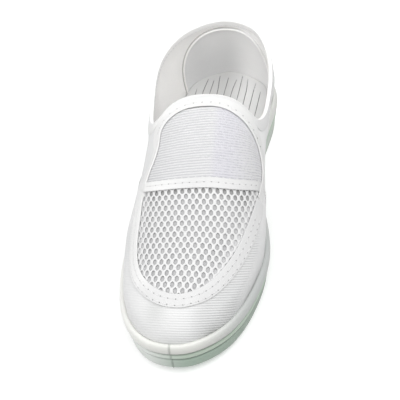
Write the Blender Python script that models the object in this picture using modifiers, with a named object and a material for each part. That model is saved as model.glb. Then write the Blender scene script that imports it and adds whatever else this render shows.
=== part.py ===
"""Cleanroom slip-on shoe, left foot, at its real size.

A moulded unit sole with a ribbed side carries a one-piece hollow upper.  A gore panel over the instep
and a mesh panel over the vamp fill one opening in the upper, and tapes and bands cover their seams.

Sizes are in millimetres.  "along" runs from the back of the heel to the toe, "across" is positive on the
outer (little toe) side and height is above the floor.  In the scene the toe points to -Y, the outer side
to +X, and the origin is under the middle of the sole.
"""

import math
from collections import namedtuple

import bmesh
import bpy
import numpy as np

MM = 0.001
GAP = 0.3

# Driving sizes of the shoe
SOLE_LENGTH = 266.0
BALL_WIDTH = 93.4
COLLAR_HEIGHT = 78.0
INSTEP_HEIGHT = 87.0
WALL = 1.8
SOLE_LIP_WIDTH = 4.2
SOLE_LIP_DEPTH = 4.0
INSOLE_THICKNESS = 3.0
INSOLE_EDGE_GAP = 0.6

# How finely the surfaces are divided
COLUMNS_PER_ROW = 3
WALL_STEPS = 8
ROOF_STEPS = 7
FLOOR_STEPS = 4
STRIP_STEPS = 4
SEAM_STEPS = 16
EXTENT_STEPS = 40
NORMAL_STEP = 0.02
WELD = 1e-6
SHARP_ANGLE = math.radians(40)

# One row for each place round the shoe, from the back of the heel along the outer side to the toe and
# back along the inner side: the rim of the sole, then the top of the wall above it.  Behind the throat
# the wall's top is the collar, and in front of it the shoulder where the wall turns into the vamp.
# Lengths are in percent of the sole's length, widths of the ball's width and heights of the collar's.
# Flare is the wall's outward lean at the sole and lean its inward lean at the top, in degrees.
Place = namedtuple("Place", "rim_along rim_across top_along top_across top_height flare lean")
PLACES = (
    Place(0.0, 2.1, 3.0, 2.1, 100.0, 10, 16),
    Place(2.3, 23.0, 5.0, 21.0, 99.1, 14, 14),
    Place(7.5, 38.5, 9.8, 32.8, 96.7, 20, 12),
    Place(15.8, 41.6, 17.9, 40.2, 92.3, 18, 9),
    Place(27.1, 36.6, 28.6, 42.0, 86.4, 14, 9),
    Place(39.1, 34.8, 40.2, 39.6, 79.9, 12, 24),
    Place(50.4, 38.4, 50.4, 39.9, 72.6, 8, 25),
    Place(60.2, 44.2, 59.8, 40.4, 64.6, 6, 28),
    Place(69.9, 46.7, 69.2, 40.7, 57.7, 6, 32),
    Place(78.9, 42.6, 77.4, 37.9, 53.2, 6, 36),
    Place(86.6, 35.7, 85.0, 30.4, 50.6, 6, 39),
    Place(93.8, 24.0, 91.4, 18.6, 49.5, 6, 41),
    Place(98.7, 6.8, 95.1, 3.9, 49.2, 6, 42),
    Place(100.0, -8.6, 96.4, -8.6, 49.2, 6, 42),
    Place(98.7, -24.9, 95.3, -21.8, 49.2, 6, 42),
    Place(94.2, -38.5, 91.9, -32.8, 49.7, 6, 41),
    Place(87.2, -47.4, 85.7, -40.5, 51.0, 6, 39),
    Place(78.2, -52.2, 77.4, -44.5, 53.8, 6, 36),
    Place(68.4, -52.8, 68.4, -45.4, 59.0, 6, 32),
    Place(58.6, -48.2, 58.6, -43.3, 65.9, 6, 28),
    Place(48.9, -42.3, 48.9, -42.6, 73.1, 8, 25),
    Place(39.1, -38.5, 42.0, -42.2, 79.0, 12, 24),
    Place(27.8, -37.7, 28.6, -45.0, 86.4, 16, 8),
    Place(16.5, -37.9, 17.9, -43.2, 92.3, 16, 8),
    Place(7.5, -32.7, 9.8, -32.9, 96.7, 16, 11),
    Place(2.3, -18.7, 5.0, -17.1, 99.1, 12, 14),
)
OUTER_NOTCH = 5
TOE = 13
INNER_NOTCH = 21

# Levels of the upper: 0 at the sole, then the collar or shoulder, then the crest.
SHOULDER = 1
CREST_LEVEL = 2
SHEET_FOOT = 0.5
ROOF_FULLNESS = 1.3
SQUARE_ROWS = 2

# The crest of the vamp, a row for each pair of facing places from the throat to the toe, in percent of
# the sole's length, the ball's width and the height of the instep.
Crest = namedtuple("Crest", "along across height")
CREST = (
    Crest(39.1, 3.2, 100.0),
    Crest(49.2, 4.3, 92.0),
    Crest(59.0, 4.3, 83.0),
    Crest(68.4, 2.7, 74.5),
    Crest(76.7, -0.5, 67.6),
    Crest(83.1, -3.7, 62.5),
    Crest(87.2, -6.4, 59.1),
    Crest(89.5, -8.0, 57.0),
    Crest(90.2, -8.6, 56.3),
)

# The sole seen from the side: the tread with its heel, arch and toe spring, and the top of the lip.
SideView = namedtuple("SideView", "along tread lip")
SIDE_VIEW = (
    SideView(0.0, 1.6, 31.0),
    SideView(9.0, 0.0, 30.8),
    SideView(48.0, 0.0, 29.8),
    SideView(84.0, 0.0, 28.2),
    SideView(116.0, 3.2, 26.2),
    SideView(146.0, 0.0, 24.6),
    SideView(176.0, 0.0, 23.8),
    SideView(198.0, 0.0, 24.0),
    SideView(220.0, 1.0, 25.0),
    SideView(242.0, 3.0, 26.9),
    SideView(266.0, 6.2, 29.4),
)

# The moulded side of the sole from the tread up: inset from the rim, and share of the wall's height.
WallStep = namedtuple("WallStep", "inset share")
SOLE_WALL = (
    WallStep(4.6, 0.0),
    WallStep(3.0, 0.05),
    WallStep(2.2, 0.36),
    WallStep(3.0, 0.40),
    WallStep(3.0, 0.43),
    WallStep(1.4, 0.47),
    WallStep(1.2, 0.59),
    WallStep(2.4, 0.63),
    WallStep(2.4, 0.66),
    WallStep(0.4, 0.70),
    WallStep(0.0, 0.78),
    WallStep(0.2, 0.90),
    WallStep(1.2, 0.98),
    WallStep(2.2, 1.0),
)
LIP_INNER_SHARE = 0.98

# The one opening over instep and vamp, seen from above: its edge from the middle of the throat along the
# outer side to the toe and back along the inner side, in percent of the sole's length and the ball's
# width, with the width of the band outside it in millimetres.
Edge = namedtuple("Edge", "along across band")
OPENING = (
    Edge(43.0, 3.2, 9),
    Edge(43.8, 19.3, 8.8),
    Edge(46.6, 32.6, 5.0),
    Edge(52.6, 37.2, 2),
    Edge(60.2, 38.0, 1.8),
    Edge(68.0, 35.4, 3.6),
    Edge(75.2, 30.6, 5.6),
    Edge(81.6, 23.6, 6.8),
    Edge(87.3, 12.8, 7.2),
    Edge(90.3, 1.4, 7.2),
    Edge(90.8, -9.6, 7.2),
    Edge(89.2, -20.4, 7),
    Edge(85.5, -29.6, 7),
    Edge(80.5, -34.7, 6.4),
    Edge(74.4, -36.8, 5.2),
    Edge(67.7, -37.0, 4.2),
    Edge(60.2, -36.0, 3.6),
    Edge(51.9, -30.6, 5.4),
    Edge(46.4, -29.0, 7),
    Edge(43.3, -15.4, 9),
)
BAND_THICKNESS = 0.8
THROAT_BAND_ENDS = (-2.4, 2.4)
WINDOW_BAND_ENDS = (4.5, 15.5)
PANEL_DROP = 0.2
PANEL_THICKNESS = 1.4
PANEL_CORNER = 0.97

# The seam where gore and mesh meet, an arc seen from above that turns back at its ends, and the tape
# that covers it.
SEAM_MIDDLE = 169.0
SEAM_ACROSS = -3.0
SEAM_BOW = 0.0008
SEAM_TURN = 4.9e-6
TAPE_WIDTH = 6.6
TAPE_SIDES = (-35.4, 36.0)

# The binding folded over the collar: how far it reaches down both sides, and its cloth.
BINDING_DEPTH = 5.0
BINDING_THICKNESS = 0.7
BINDING_STEPS = 3
BINDING_END = 0.12
BINDING_CROWN = 1.4

# Bars of tread: grooves across the heel and the forefoot.
Tread = namedtuple("Tread", "first last")
TREAD_ZONES = (Tread(16.0, 76.0), Tread(154.0, 234.0))
TREAD_PITCH = 10.0
TREAD_GROOVE = 3.0
TREAD_DEPTH = 2.2
TREAD_MARGIN = 13.0

# Cutters for the opening and for what lies in it or round it reach from inside the shoe to above it.
CUT_LOW = 42.0
CUT_HIGH = 110.0


def slopes_of(values, closed):
    """Slopes at evenly numbered rows that make a cubic curve through them smooth to its second order."""
    count = len(values)
    matrix = np.zeros((count, count))
    right = np.zeros_like(values)
    for i in range(count):
        if closed or 0 < i < count - 1:
            before, after = (i - 1) % count, (i + 1) % count
            matrix[i, before] += 1
            matrix[i, i] += 4
            matrix[i, after] += 1
            right[i] = 3 * (values[after] - values[before])
        else:
            inner = 1 if i == 0 else count - 2
            matrix[i, i], matrix[i, inner] = 2, 1
            right[i] = 3 * (values[inner] - values[i]) * (1 if i == 0 else -1)
    return np.linalg.solve(matrix, right)


def hermite(start, end, start_slope, end_slope, t):
    """Point at share t of the cubic with these ends and end slopes."""
    return (
        (2 * t**3 - 3 * t**2 + 1) * start
        + (t**3 - 2 * t**2 + t) * start_slope
        + (3 * t**2 - 2 * t**3) * end
        + (t**3 - t**2) * end_slope
    )


class Curve:
    """A smooth curve through the rows of a table, read at a row number that may be a fraction."""

    def __init__(self, rows, closed=False):
        self.values = np.array(rows, float)
        self.closed = closed
        self.slopes = slopes_of(self.values, closed)

    def at(self, row):
        count = len(self.values)
        if self.closed:
            row = row % count
        first = min(int(row), count - 1 if self.closed else count - 2)
        second = (first + 1) % count
        return hermite(
            self.values[first], self.values[second], self.slopes[first], self.slopes[second], row - first
        )


def side_slope(row):
    """Rise per millimetre of tread and lip at a row of the side view, level where the tread is flat."""
    here = SIDE_VIEW[row]
    before = SIDE_VIEW[max(row - 1, 0)]
    after = SIDE_VIEW[min(row + 1, len(SIDE_VIEW) - 1)]
    rise = np.subtract(after[1:], before[1:]) / (after.along - before.along)
    return rise * (here.tread > 0, 1)


def side_view(along):
    """Tread and lip heights at a distance along the sole."""
    stations = [row.along for row in SIDE_VIEW]
    along = min(max(along, stations[0]), stations[-1])
    row = min(int(np.searchsorted(stations, along, side="right")) - 1, len(stations) - 2)
    low, high = SIDE_VIEW[row], SIDE_VIEW[row + 1]
    run = high.along - low.along
    share = (along - low.along) / run
    low_slope, high_slope = side_slope(row) * run, side_slope(row + 1) * run
    return hermite(np.array(low[1:]), np.array(high[1:]), low_slope, high_slope, share)


def in_millimetres(table, *sizes):
    """Rows of a table with each column in percent of a size; a column past the sizes is kept."""
    scale = [size / 100 for size in sizes] + [1] * (len(table[0]) - len(sizes))
    return np.array(table) * scale


PLACE_CURVE = Curve(
    in_millimetres(PLACES, SOLE_LENGTH, BALL_WIDTH, SOLE_LENGTH, BALL_WIDTH, COLLAR_HEIGHT), closed=True
)
CREST_CURVE = Curve(in_millimetres(CREST, SOLE_LENGTH, BALL_WIDTH, INSTEP_HEIGHT))
OPENING_CURVE = Curve(in_millimetres(OPENING, SOLE_LENGTH, BALL_WIDTH), closed=True)


def outward_of(curve, place):
    """Plan direction (along, across) that points out of a closed outline."""
    step = curve.at(place + NORMAL_STEP) - curve.at(place - NORMAL_STEP)
    return np.array((-step[1], step[0])) / np.hypot(step[0], step[1])


def rim(place, inset=0.0):
    """Plan point (along, across) of the sole's outline, moved inwards by an inset."""
    return PLACE_CURVE.at(place)[:2] - inset * outward_of(PLACE_CURVE, place)


def opening_edge(place, out=0.0):
    """Plan point of the opening's edge, moved outwards."""
    return OPENING_CURVE.at(place)[:2] + out * outward_of(OPENING_CURVE, place)


def crest_at(place):
    """Crest point over a place beside the vamp, and the crest's rise per millimetre along the shoe."""
    facing = place if place <= TOE else 2 * TOE - place
    row = facing - OUTER_NOTCH
    ahead = CREST_CURVE.at(min(row + NORMAL_STEP, len(CREST) - 1))
    behind = CREST_CURVE.at(max(row - NORMAL_STEP, 0) if row > 0 else row)
    return CREST_CURVE.at(row), (ahead[2] - behind[2]) / (ahead[0] - behind[0])


def off_throat(place):
    """0 at the throat, whose edge crosses the crest squarely, and 1 a few rows in front of it."""
    facing = min(place, 2 * TOE - place)
    return min(max(facing - OUTER_NOTCH, 0) / SQUARE_ROWS, 1)


def last_point(place, level):
    """Point of the upper's outer surface.

    Level 0 is at the sole, 1 at the collar or shoulder and 2 on the crest of the vamp.
    """
    row = Place(*PLACE_CURVE.at(place))
    along, across = rim(place, SOLE_LIP_WIDTH)
    outward = np.array((*outward_of(PLACE_CURVE, place), 0.0))
    foot = np.array((along, across, side_view(along)[1] - SOLE_LIP_DEPTH))
    top = np.array((row.top_along, row.top_across, row.top_height))
    flare, lean = math.radians(row.flare), math.radians(row.lean)
    leave = np.array((0, 0, math.cos(flare))) + outward * math.sin(flare)
    arrive = np.array((0, 0, math.cos(lean))) - outward * math.sin(lean)
    if level <= SHOULDER:
        height = np.linalg.norm(top - foot)
        return hermite(foot, top, leave * height, arrive * height, level)
    crest, rise = crest_at(place)
    inward = (crest - top) * (off_throat(place), 1, 0)
    inward = inward / np.linalg.norm(inward)
    inward[2] = rise * inward[0]
    span = np.linalg.norm(crest - top)
    return hermite(top, crest, arrive * span, inward * span * ROOF_FULLNESS, level - SHOULDER)


def upper_point(place, level, out=0.0):
    """Point of the upper's outer surface, moved outwards along its normal."""
    point = last_point(place, level)
    if out == 0:
        return point
    if level == CREST_LEVEL:
        normal = np.array((-crest_at(place)[1], 0.0, 1.0))
    else:
        top = CREST_LEVEL if OUTER_NOTCH <= place <= INNER_NOTCH else SHOULDER
        low, high = max(level - NORMAL_STEP, 0), min(level + NORMAL_STEP, top)
        round_step = last_point(place + NORMAL_STEP, level) - last_point(place - NORMAL_STEP, level)
        normal = np.cross(last_point(place, high) - last_point(place, low), round_step)
    return point + out * normal / np.linalg.norm(normal)


OUTLINE = [rim(i / EXTENT_STEPS) for i in range(EXTENT_STEPS * len(PLACES))]
MIDDLE = [(max(values) + min(values)) / 2 for values in zip(*OUTLINE)]


def to_scene(point):
    """Scene position, in metres, of a point given as along, across and height in millimetres."""
    along, across, height = point
    return ((across - MIDDLE[1]) * MM, (MIDDLE[0] - along) * MM, height * MM)


def clear_scene():
    """Removes what the scene starts with."""
    for obj in list(bpy.data.objects):
        bpy.data.objects.remove(obj, do_unlink=True)


def grid_faces(mesh, grid):
    """Adds quads between the rows of a grid of points."""
    rows = [[mesh.verts.new(to_scene(point)) for point in row] for row in grid]
    for low, high in zip(rows, rows[1:]):
        for i in range(len(low) - 1):
            mesh.faces.new((low[i], high[i], high[i + 1], low[i + 1]))


def welded_object(name, mesh, collection, finish=None):
    """Finishes a bmesh as a named object with its doubles merged."""
    bmesh.ops.remove_doubles(mesh, verts=mesh.verts, dist=WELD)
    bmesh.ops.dissolve_degenerate(mesh, edges=mesh.edges, dist=WELD / 10)
    data = bpy.data.meshes.new(name)
    mesh.to_mesh(data)
    mesh.free()
    obj = bpy.data.objects.new(name, data)
    collection.objects.link(obj)
    if finish:
        data.materials.append(finish)
        data.shade_smooth()
        data.set_sharp_from_angle(angle=SHARP_ANGLE)
    return obj


def places_between(first, last):
    """Places for the columns of a surface, between two places round the shoe."""
    return spread(first, last, round((last - first) * COLUMNS_PER_ROW))


def spread(first, last, steps):
    """Evenly spread numbers from first to last."""
    return [first + (last - first) * i / steps for i in range(steps + 1)]


def material(name, colour, roughness):
    """A plain finish."""
    made = bpy.data.materials.new(name)
    made.use_nodes = True
    shader = made.node_tree.nodes["Principled BSDF"]
    shader.inputs["Base Color"].default_value = (*colour, 1.0)
    shader.inputs["Roughness"].default_value = roughness
    return made


def prism(name, outline, collection):
    """An upright cutter over a plan outline."""
    mesh = bmesh.new()
    floor = mesh.faces.new([mesh.verts.new(to_scene((*point, CUT_LOW))) for point in outline])
    raised = bmesh.ops.extrude_face_region(mesh, geom=[floor])
    lifted = [item for item in raised["geom"] if isinstance(item, bmesh.types.BMVert)]
    bmesh.ops.translate(mesh, verts=lifted, vec=(0, 0, (CUT_HIGH - CUT_LOW) * MM))
    bmesh.ops.recalc_face_normals(mesh, faces=mesh.faces)
    return as_cutter(welded_object(name, mesh, collection))


def as_cutter(obj):
    """Marks an object as a guide that is not part of the shoe."""
    obj.hide_render = True
    obj.display_type = "WIRE"
    return obj


def cut(obj, cutter, operation):
    """Cuts an object by a cutter, or keeps what lies inside it."""
    step = obj.modifiers.new(cutter.name, "BOOLEAN")
    step.operation = operation
    step.object = cutter


def thicken(obj, thickness):
    """Gives an open surface its thickness, inwards."""
    wall = obj.modifiers.new("wall", "SOLIDIFY")
    wall.thickness = thickness * MM
    wall.offset = -1


def vamp_sheet(name, outside, thickness, collection, finish):
    """A sheet over the whole vamp, its outer face at a distance outside the upper."""
    mesh = bmesh.new()
    places = places_between(OUTER_NOTCH, INNER_NOTCH)
    rows = spread(SHEET_FOOT, SHOULDER, WALL_STEPS // 2) + spread(SHOULDER, CREST_LEVEL, ROOF_STEPS)[1:]
    grid_faces(mesh, [[upper_point(place, level, outside) for place in places] for level in rows])
    sheet = welded_object(name, mesh, collection, finish)
    thicken(sheet, thickness)
    return sheet


def opening_outline(out, first=0):
    """The opening's whole edge from a place on it, moved outwards."""
    places = spread(first, first + len(OPENING), len(OPENING) * STRIP_STEPS)[:-1]
    return [opening_edge(place, out) for place in places]


def band_outline(ends):
    """A strip outside the opening's edge between two places on it, as wide as the table says."""
    first, last = ends
    places = spread(first, last, round((last - first) * STRIP_STEPS))
    inner = [opening_edge(place) for place in places]
    outer = [opening_edge(place, Edge(*OPENING_CURVE.at(place)).band) for place in places]
    return inner + outer[::-1]


def seam_along(across, shift):
    """Distance along the shoe of the seam between gore and mesh, moved forwards by a shift."""
    offset = across - SEAM_ACROSS
    return SEAM_MIDDLE + shift - SEAM_BOW * offset**2 - SEAM_TURN * offset**4


def seam_row(first, last, shift):
    """Points along the seam between two sides, moved forwards by a shift."""
    return [(seam_along(across, shift), across) for across in spread(first, last, SEAM_STEPS)]


def tape_outline():
    """The tape over the seam, seen from above."""
    return seam_row(*TAPE_SIDES, -TAPE_WIDTH / 2) + seam_row(*TAPE_SIDES[::-1], TAPE_WIDTH / 2)


def panel_outline(front):
    """Edge of the panel in front of the seam or behind it, closed along the seam."""
    shift = GAP / 2 if front else -GAP / 2
    edge = opening_outline(-GAP, 0 if front else -len(OPENING) // 2)
    kept = [point for point in edge if (point[0] > seam_along(point[1], shift)) == front]
    return kept + seam_row(kept[-1][1] * PANEL_CORNER, kept[0][1] * PANEL_CORNER, shift)


def make_upper(parts, cutters, finish):
    """The hollow wall: round the whole shoe, and over the vamp in front of the throat."""
    mesh = bmesh.new()
    everywhere = places_between(0, len(PLACES))
    vamp = places_between(OUTER_NOTCH, INNER_NOTCH)
    for places, rows in (
        (everywhere, spread(0, SHOULDER, WALL_STEPS)),
        (vamp, spread(SHOULDER, CREST_LEVEL, ROOF_STEPS)),
    ):
        grid_faces(mesh, [[upper_point(place, level) for place in places] for level in rows])
    upper = welded_object("upper", mesh, parts, finish)
    thicken(upper, WALL)
    cut(upper, prism("opening_cutter", opening_outline(0.0), cutters), "DIFFERENCE")


def make_panels(parts, cutters, gore_finish, mesh_finish):
    """Gore and mesh, which share the opening and meet at the seam."""
    for name, front, finish in (("instep_gore", False, gore_finish), ("mesh_panel", True, mesh_finish)):
        panel = vamp_sheet(name, -PANEL_DROP, PANEL_THICKNESS, parts, finish)
        cut(panel, prism(name + "_cutter", panel_outline(front), cutters), "INTERSECT")


def make_bands(parts, cutters, finish):
    """Tape over the seam and the bands round the opening, on the outside of the upper."""
    for name, outline in (
        ("gore_front_tape", tape_outline()),
        ("throat_band", band_outline(THROAT_BAND_ENDS)),
        ("window_band", band_outline(WINDOW_BAND_ENDS)),
    ):
        band = vamp_sheet(name, GAP + BAND_THICKNESS, BAND_THICKNESS, parts, finish)
        cut(band, prism(name + "_cutter", outline, cutters), "INTERSECT")


def binding_profile(place):
    """Closed row of points round the binding's cloth where it folds over the collar."""
    foot, top = last_point(place, 0), last_point(place, SHOULDER)
    deep = BINDING_DEPTH / np.linalg.norm(top - foot)
    near, far = GAP, GAP + BINDING_THICKNESS
    rows = spread(SHOULDER - deep, SHOULDER, BINDING_STEPS)
    outer = [upper_point(place, level, far) for level in rows]
    outer_back = [upper_point(place, level, near) for level in rows]
    inner = [upper_point(place, level, -WALL - far) for level in rows]
    inner_back = [upper_point(place, level, -WALL - near) for level in rows]
    rise = top - last_point(place, SHOULDER - NORMAL_STEP)
    rise = rise / np.linalg.norm(rise)
    peak = (outer[-1] + inner[-1]) / 2 + rise * far * BINDING_CROWN
    crown = [outer[-1] + rise * near, peak, inner[-1] + rise * near]
    under = [inner_back[-1] + rise * near, outer_back[-1] + rise * near]
    return outer + crown + inner[::-1] + inner_back + under + outer_back[::-1]


def make_binding(parts, finish):
    """Folded binding along the collar, from one side of the throat round the heel to the other."""
    mesh = bmesh.new()
    first, last = INNER_NOTCH, len(PLACES) + OUTER_NOTCH
    columns = [first + BINDING_END, *places_between(first, last)[1:-1], last - BINDING_END]
    profiles = [binding_profile(place) for place in columns]
    grid_faces(mesh, [row + row[:1] for row in profiles])
    bmesh.ops.remove_doubles(mesh, verts=mesh.verts, dist=WELD)
    bmesh.ops.holes_fill(mesh, edges=[edge for edge in mesh.edges if edge.is_boundary])
    bmesh.ops.recalc_face_normals(mesh, faces=mesh.faces)
    welded_object("collar_binding", mesh, parts, finish)


def ring(inset, height_at):
    """A closed row of points round the shoe, with a height for each distance along it.

    The inset from the rim is a length, or a function of the place.
    """
    points = []
    for place in places_between(0, len(PLACES))[:-1]:
        along, across = rim(place, inset(place) if callable(inset) else inset)
        points.append((along, across, height_at(along)))
    return points


def lip_inner_inset(place):
    """Inset of the lip's inner edge, which stays clear of the upper's flare."""
    flare = math.radians(Place(*PLACE_CURVE.at(place)).flare)
    return SOLE_LIP_WIDTH - GAP - SOLE_LIP_DEPTH * math.tan(flare)


def floor_faces(mesh, row):
    """Closes a ring of points with strips from the outer side to the inner side."""
    count = len(row)
    strips = []
    for i in range(count // 2 + 1):
        outer, inner = np.array(row[i]), np.array(row[-i % count])
        strips.append([outer + (inner - outer) * j / FLOOR_STEPS for j in range(FLOOR_STEPS + 1)])
    grid_faces(mesh, strips)


def closed_stack(name, rows, collection, finish):
    """A solid through a stack of rings, closed at both ends."""
    mesh = bmesh.new()
    grid_faces(mesh, [row + row[:1] for row in rows])
    floor_faces(mesh, rows[0])
    floor_faces(mesh, rows[-1])
    bmesh.ops.remove_doubles(mesh, verts=mesh.verts, dist=WELD)
    bmesh.ops.recalc_face_normals(mesh, faces=mesh.faces)
    return welded_object(name, mesh, collection, finish)


def make_tread_cutter(collection):
    """Bars that cut the grooves between the lugs, kept inside the edge of the tread."""
    mesh = bmesh.new()
    edge = ring(TREAD_MARGIN, lambda along: 0.0)
    half = len(edge) // 2 + 1
    sides = [sorted(points) for points in (edge[:half], edge[half - 1 :] + edge[:1])]
    for zone in TREAD_ZONES:
        count = round((zone.last - zone.first) / TREAD_PITCH)
        for along in spread(zone.first, zone.last, count):
            outer, inner = (
                np.interp(along, [point[0] for point in side], [point[1] for point in side]) for side in sides
            )
            top = side_view(along)[0] + TREAD_DEPTH
            made = bmesh.ops.create_cube(mesh, size=1)
            size = (abs(outer - inner), TREAD_GROOVE, 2 * top)
            bmesh.ops.scale(mesh, vec=[value * MM for value in size], verts=made["verts"])
            middle = to_scene((along, (outer + inner) / 2, 0.0))
            bmesh.ops.translate(mesh, vec=middle, verts=made["verts"])
    return as_cutter(welded_object("tread_cutter", mesh, collection))


def make_sole(parts, cutters, finish):
    """The unit sole: tread, stepped side, lip and the seat inside the lip."""

    def wall_ring(inset, share):
        def height_at(along):
            tread, lip = side_view(along)
            return tread + share * (lip - tread)

        return ring(inset, height_at)

    rows = [wall_ring(step.inset, step.share) for step in SOLE_WALL]
    rows.append(wall_ring(lip_inner_inset, LIP_INNER_SHARE))
    rows.append(ring(SOLE_LIP_WIDTH - GAP, seat_height))
    sole = closed_stack("sole", rows, parts, finish)
    cut(sole, make_tread_cutter(cutters), "DIFFERENCE")


def seat_height(along):
    """Height of the sole's seat, under the upper and the insole."""
    return side_view(along)[1] - SOLE_LIP_DEPTH - GAP


def make_insole(parts, finish):
    """The board and sock that lie on the seat, inside the upper's wall."""
    inset = SOLE_LIP_WIDTH + WALL + INSOLE_EDGE_GAP
    under = ring(inset, lambda along: seat_height(along) + GAP)
    over = ring(inset, lambda along: seat_height(along) + GAP + INSOLE_THICKNESS)
    closed_stack("insole", [under, over], parts, finish)


def main():
    """Builds the shoe."""
    clear_scene()
    parts = bpy.data.collections.new("cleanroom_shoe")
    cutters = bpy.data.collections.new("cutters")
    for collection in (parts, cutters):
        bpy.context.scene.collection.children.link(collection)
    coated = material("coated_cloth", (0.93, 0.93, 0.93), 0.5)
    tape = material("tape", (0.95, 0.95, 0.95), 0.55)
    make_sole(parts, cutters, material("moulded_sole", (0.88, 0.9, 0.87), 0.45))
    make_insole(parts, material("insole_cloth", (0.86, 0.86, 0.86), 0.85))
    make_upper(parts, cutters, coated)
    gore = material("ribbed_gore", (0.91, 0.91, 0.94), 0.7)
    make_panels(parts, cutters, gore, material("open_mesh", (0.9, 0.9, 0.9), 0.75))
    make_bands(parts, cutters, tape)
    make_binding(parts, tape)


if __name__ == "__main__":
    main()
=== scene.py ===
"""Looks of a white slip-on cleanroom shoe for the left foot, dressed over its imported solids.

Until a mesh is laid, lengths are in millimetres in the shoe's own directions: along from the back of the
heel to the toe, across towards the outer (little toe) side, and height above the floor.
"""

import logging
import math
from contextlib import contextmanager
from dataclasses import dataclass, field
from enum import Enum
from typing import Any, Callable, Dict, Iterator, List, NamedTuple, Optional, Sequence, Tuple, Union

import bpy
import numpy as np
from mathutils import Matrix, Vector
from mathutils.bvhtree import BVHTree

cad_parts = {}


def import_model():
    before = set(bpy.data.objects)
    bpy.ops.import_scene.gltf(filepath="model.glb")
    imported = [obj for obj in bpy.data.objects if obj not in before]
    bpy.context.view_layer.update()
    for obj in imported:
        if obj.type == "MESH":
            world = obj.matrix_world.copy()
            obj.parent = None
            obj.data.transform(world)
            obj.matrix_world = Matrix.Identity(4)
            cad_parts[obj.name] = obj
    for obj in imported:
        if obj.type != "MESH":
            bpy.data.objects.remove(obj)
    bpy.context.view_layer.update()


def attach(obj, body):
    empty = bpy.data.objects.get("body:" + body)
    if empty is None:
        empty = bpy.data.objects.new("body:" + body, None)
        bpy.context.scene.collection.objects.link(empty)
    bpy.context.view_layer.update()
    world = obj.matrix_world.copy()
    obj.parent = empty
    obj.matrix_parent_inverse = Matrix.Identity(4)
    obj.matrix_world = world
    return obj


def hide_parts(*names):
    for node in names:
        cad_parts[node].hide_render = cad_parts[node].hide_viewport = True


LOG = logging.getLogger("cleanroom_shoe")
MM = 0.001
BODY = "root"
UP = np.array((0.0, 0.0, 1.0))
TINY = 1e-9
Array = np.ndarray
Colour = Tuple[float, float, float]
Number = Union[float, Array]
Span = Tuple[float, float]
Position = Tuple[float, float, float]
Piece = bpy.types.Object
Material = bpy.types.Material


class Slot(Enum):
    """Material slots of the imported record."""

    SOLE = "moulded_sole"
    INSOLE = "insole_cloth"
    UPPER = "coated_cloth"
    GORE = "ribbed_gore"
    MESH = "open_mesh"
    TAPE = "tape"


class Hold(Enum):
    """How a sheet of cloth is held."""

    STRETCHED = "stretched"
    LAID = "laid"


class Cut(NamedTuple):
    """A panel's flat cut: width and length in metres, and its area in square metres."""

    width: float
    length: float
    area: float


class Place(NamedTuple):
    """A place round the shoe: rim of the sole and top of the wall in percent, leans in degrees."""

    rim_along: float
    rim_across: float
    top_along: float
    top_across: float
    top_height: float
    flare: float
    lean: float


class Crest(NamedTuple):
    """A point of the vamp's crest, in percent of length, ball width and instep height."""

    along: float
    across: float
    height: float


class SideView(NamedTuple):
    """Heights of tread and lip at a distance along the sole, in millimetres."""

    along: float
    tread: float
    lip: float


class WallStep(NamedTuple):
    """A step of the sole's side: inset from the rim in millimetres, share of the wall's height."""

    inset: float
    share: float


class Edge(NamedTuple):
    """A point of the opening's edge in percent of length and width, and the band's width beside it."""

    along: float
    across: float
    band: float


class Shade(NamedTuple):
    """A soft patch of painted shade on the vamp below a height, in millimetres, and how dark it is."""

    along: float
    across: float
    top: float
    width: float
    depth: float


class Crease(NamedTuple):
    """A soft trough or ridge of the upper between two plan points, in millimetres."""

    along: float
    across: float
    end_along: float
    end_across: float
    width: float
    rise: float


class Light(Enum):
    """Kinds of lamps."""

    SOFTBOX = "AREA"
    SPOT = "SPOT"


class Lamp(NamedTuple):
    """A lamp: its place and what it faces in metres, its power in watts and its own settings."""

    name: str
    place: Position
    power: float
    settings: Dict[str, float]
    kind: Light = Light.SOFTBOX
    aim: Position = (0.0, 0.0, 0.0)


PLACES = tuple(map(Place._make, (
    (0.0, 2.1, 3.0, 2.1, 100.0, 10, 16), (2.3, 23.0, 5.0, 21.0, 99.1, 14, 14),
    (7.5, 38.5, 9.8, 32.8, 96.7, 20, 12), (15.8, 41.6, 17.9, 40.2, 92.3, 18, 9),
    (27.1, 36.6, 28.6, 42.0, 86.4, 14, 9), (39.1, 34.8, 40.2, 39.6, 79.9, 12, 24),
    (50.4, 38.4, 50.4, 39.9, 72.6, 8, 25), (60.2, 44.2, 59.8, 40.4, 64.6, 6, 28),
    (69.9, 46.7, 69.2, 40.7, 57.7, 6, 32), (78.9, 42.6, 77.4, 37.9, 53.2, 6, 36),
    (86.6, 35.7, 85.0, 30.4, 50.6, 6, 39), (93.8, 24.0, 91.4, 18.6, 49.5, 6, 41),
    (98.7, 6.8, 95.1, 3.9, 49.2, 6, 42), (100.0, -8.6, 96.4, -8.6, 49.2, 6, 42),
    (98.7, -24.9, 95.3, -21.8, 49.2, 6, 42), (94.2, -38.5, 91.9, -32.8, 49.7, 6, 41),
    (87.2, -47.4, 85.7, -40.5, 51.0, 6, 39), (78.2, -52.2, 77.4, -44.5, 53.8, 6, 36),
    (68.4, -52.8, 68.4, -45.4, 59.0, 6, 32), (58.6, -48.2, 58.6, -43.3, 65.9, 6, 28),
    (48.9, -42.3, 48.9, -42.6, 73.1, 8, 25), (39.1, -38.5, 42.0, -42.2, 79.0, 12, 24),
    (27.8, -37.7, 28.6, -45.0, 86.4, 16, 8), (16.5, -37.9, 17.9, -43.2, 92.3, 16, 8),
    (7.5, -32.7, 9.8, -32.9, 96.7, 16, 11), (2.3, -18.7, 5.0, -17.1, 99.1, 12, 14),
)))
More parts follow.
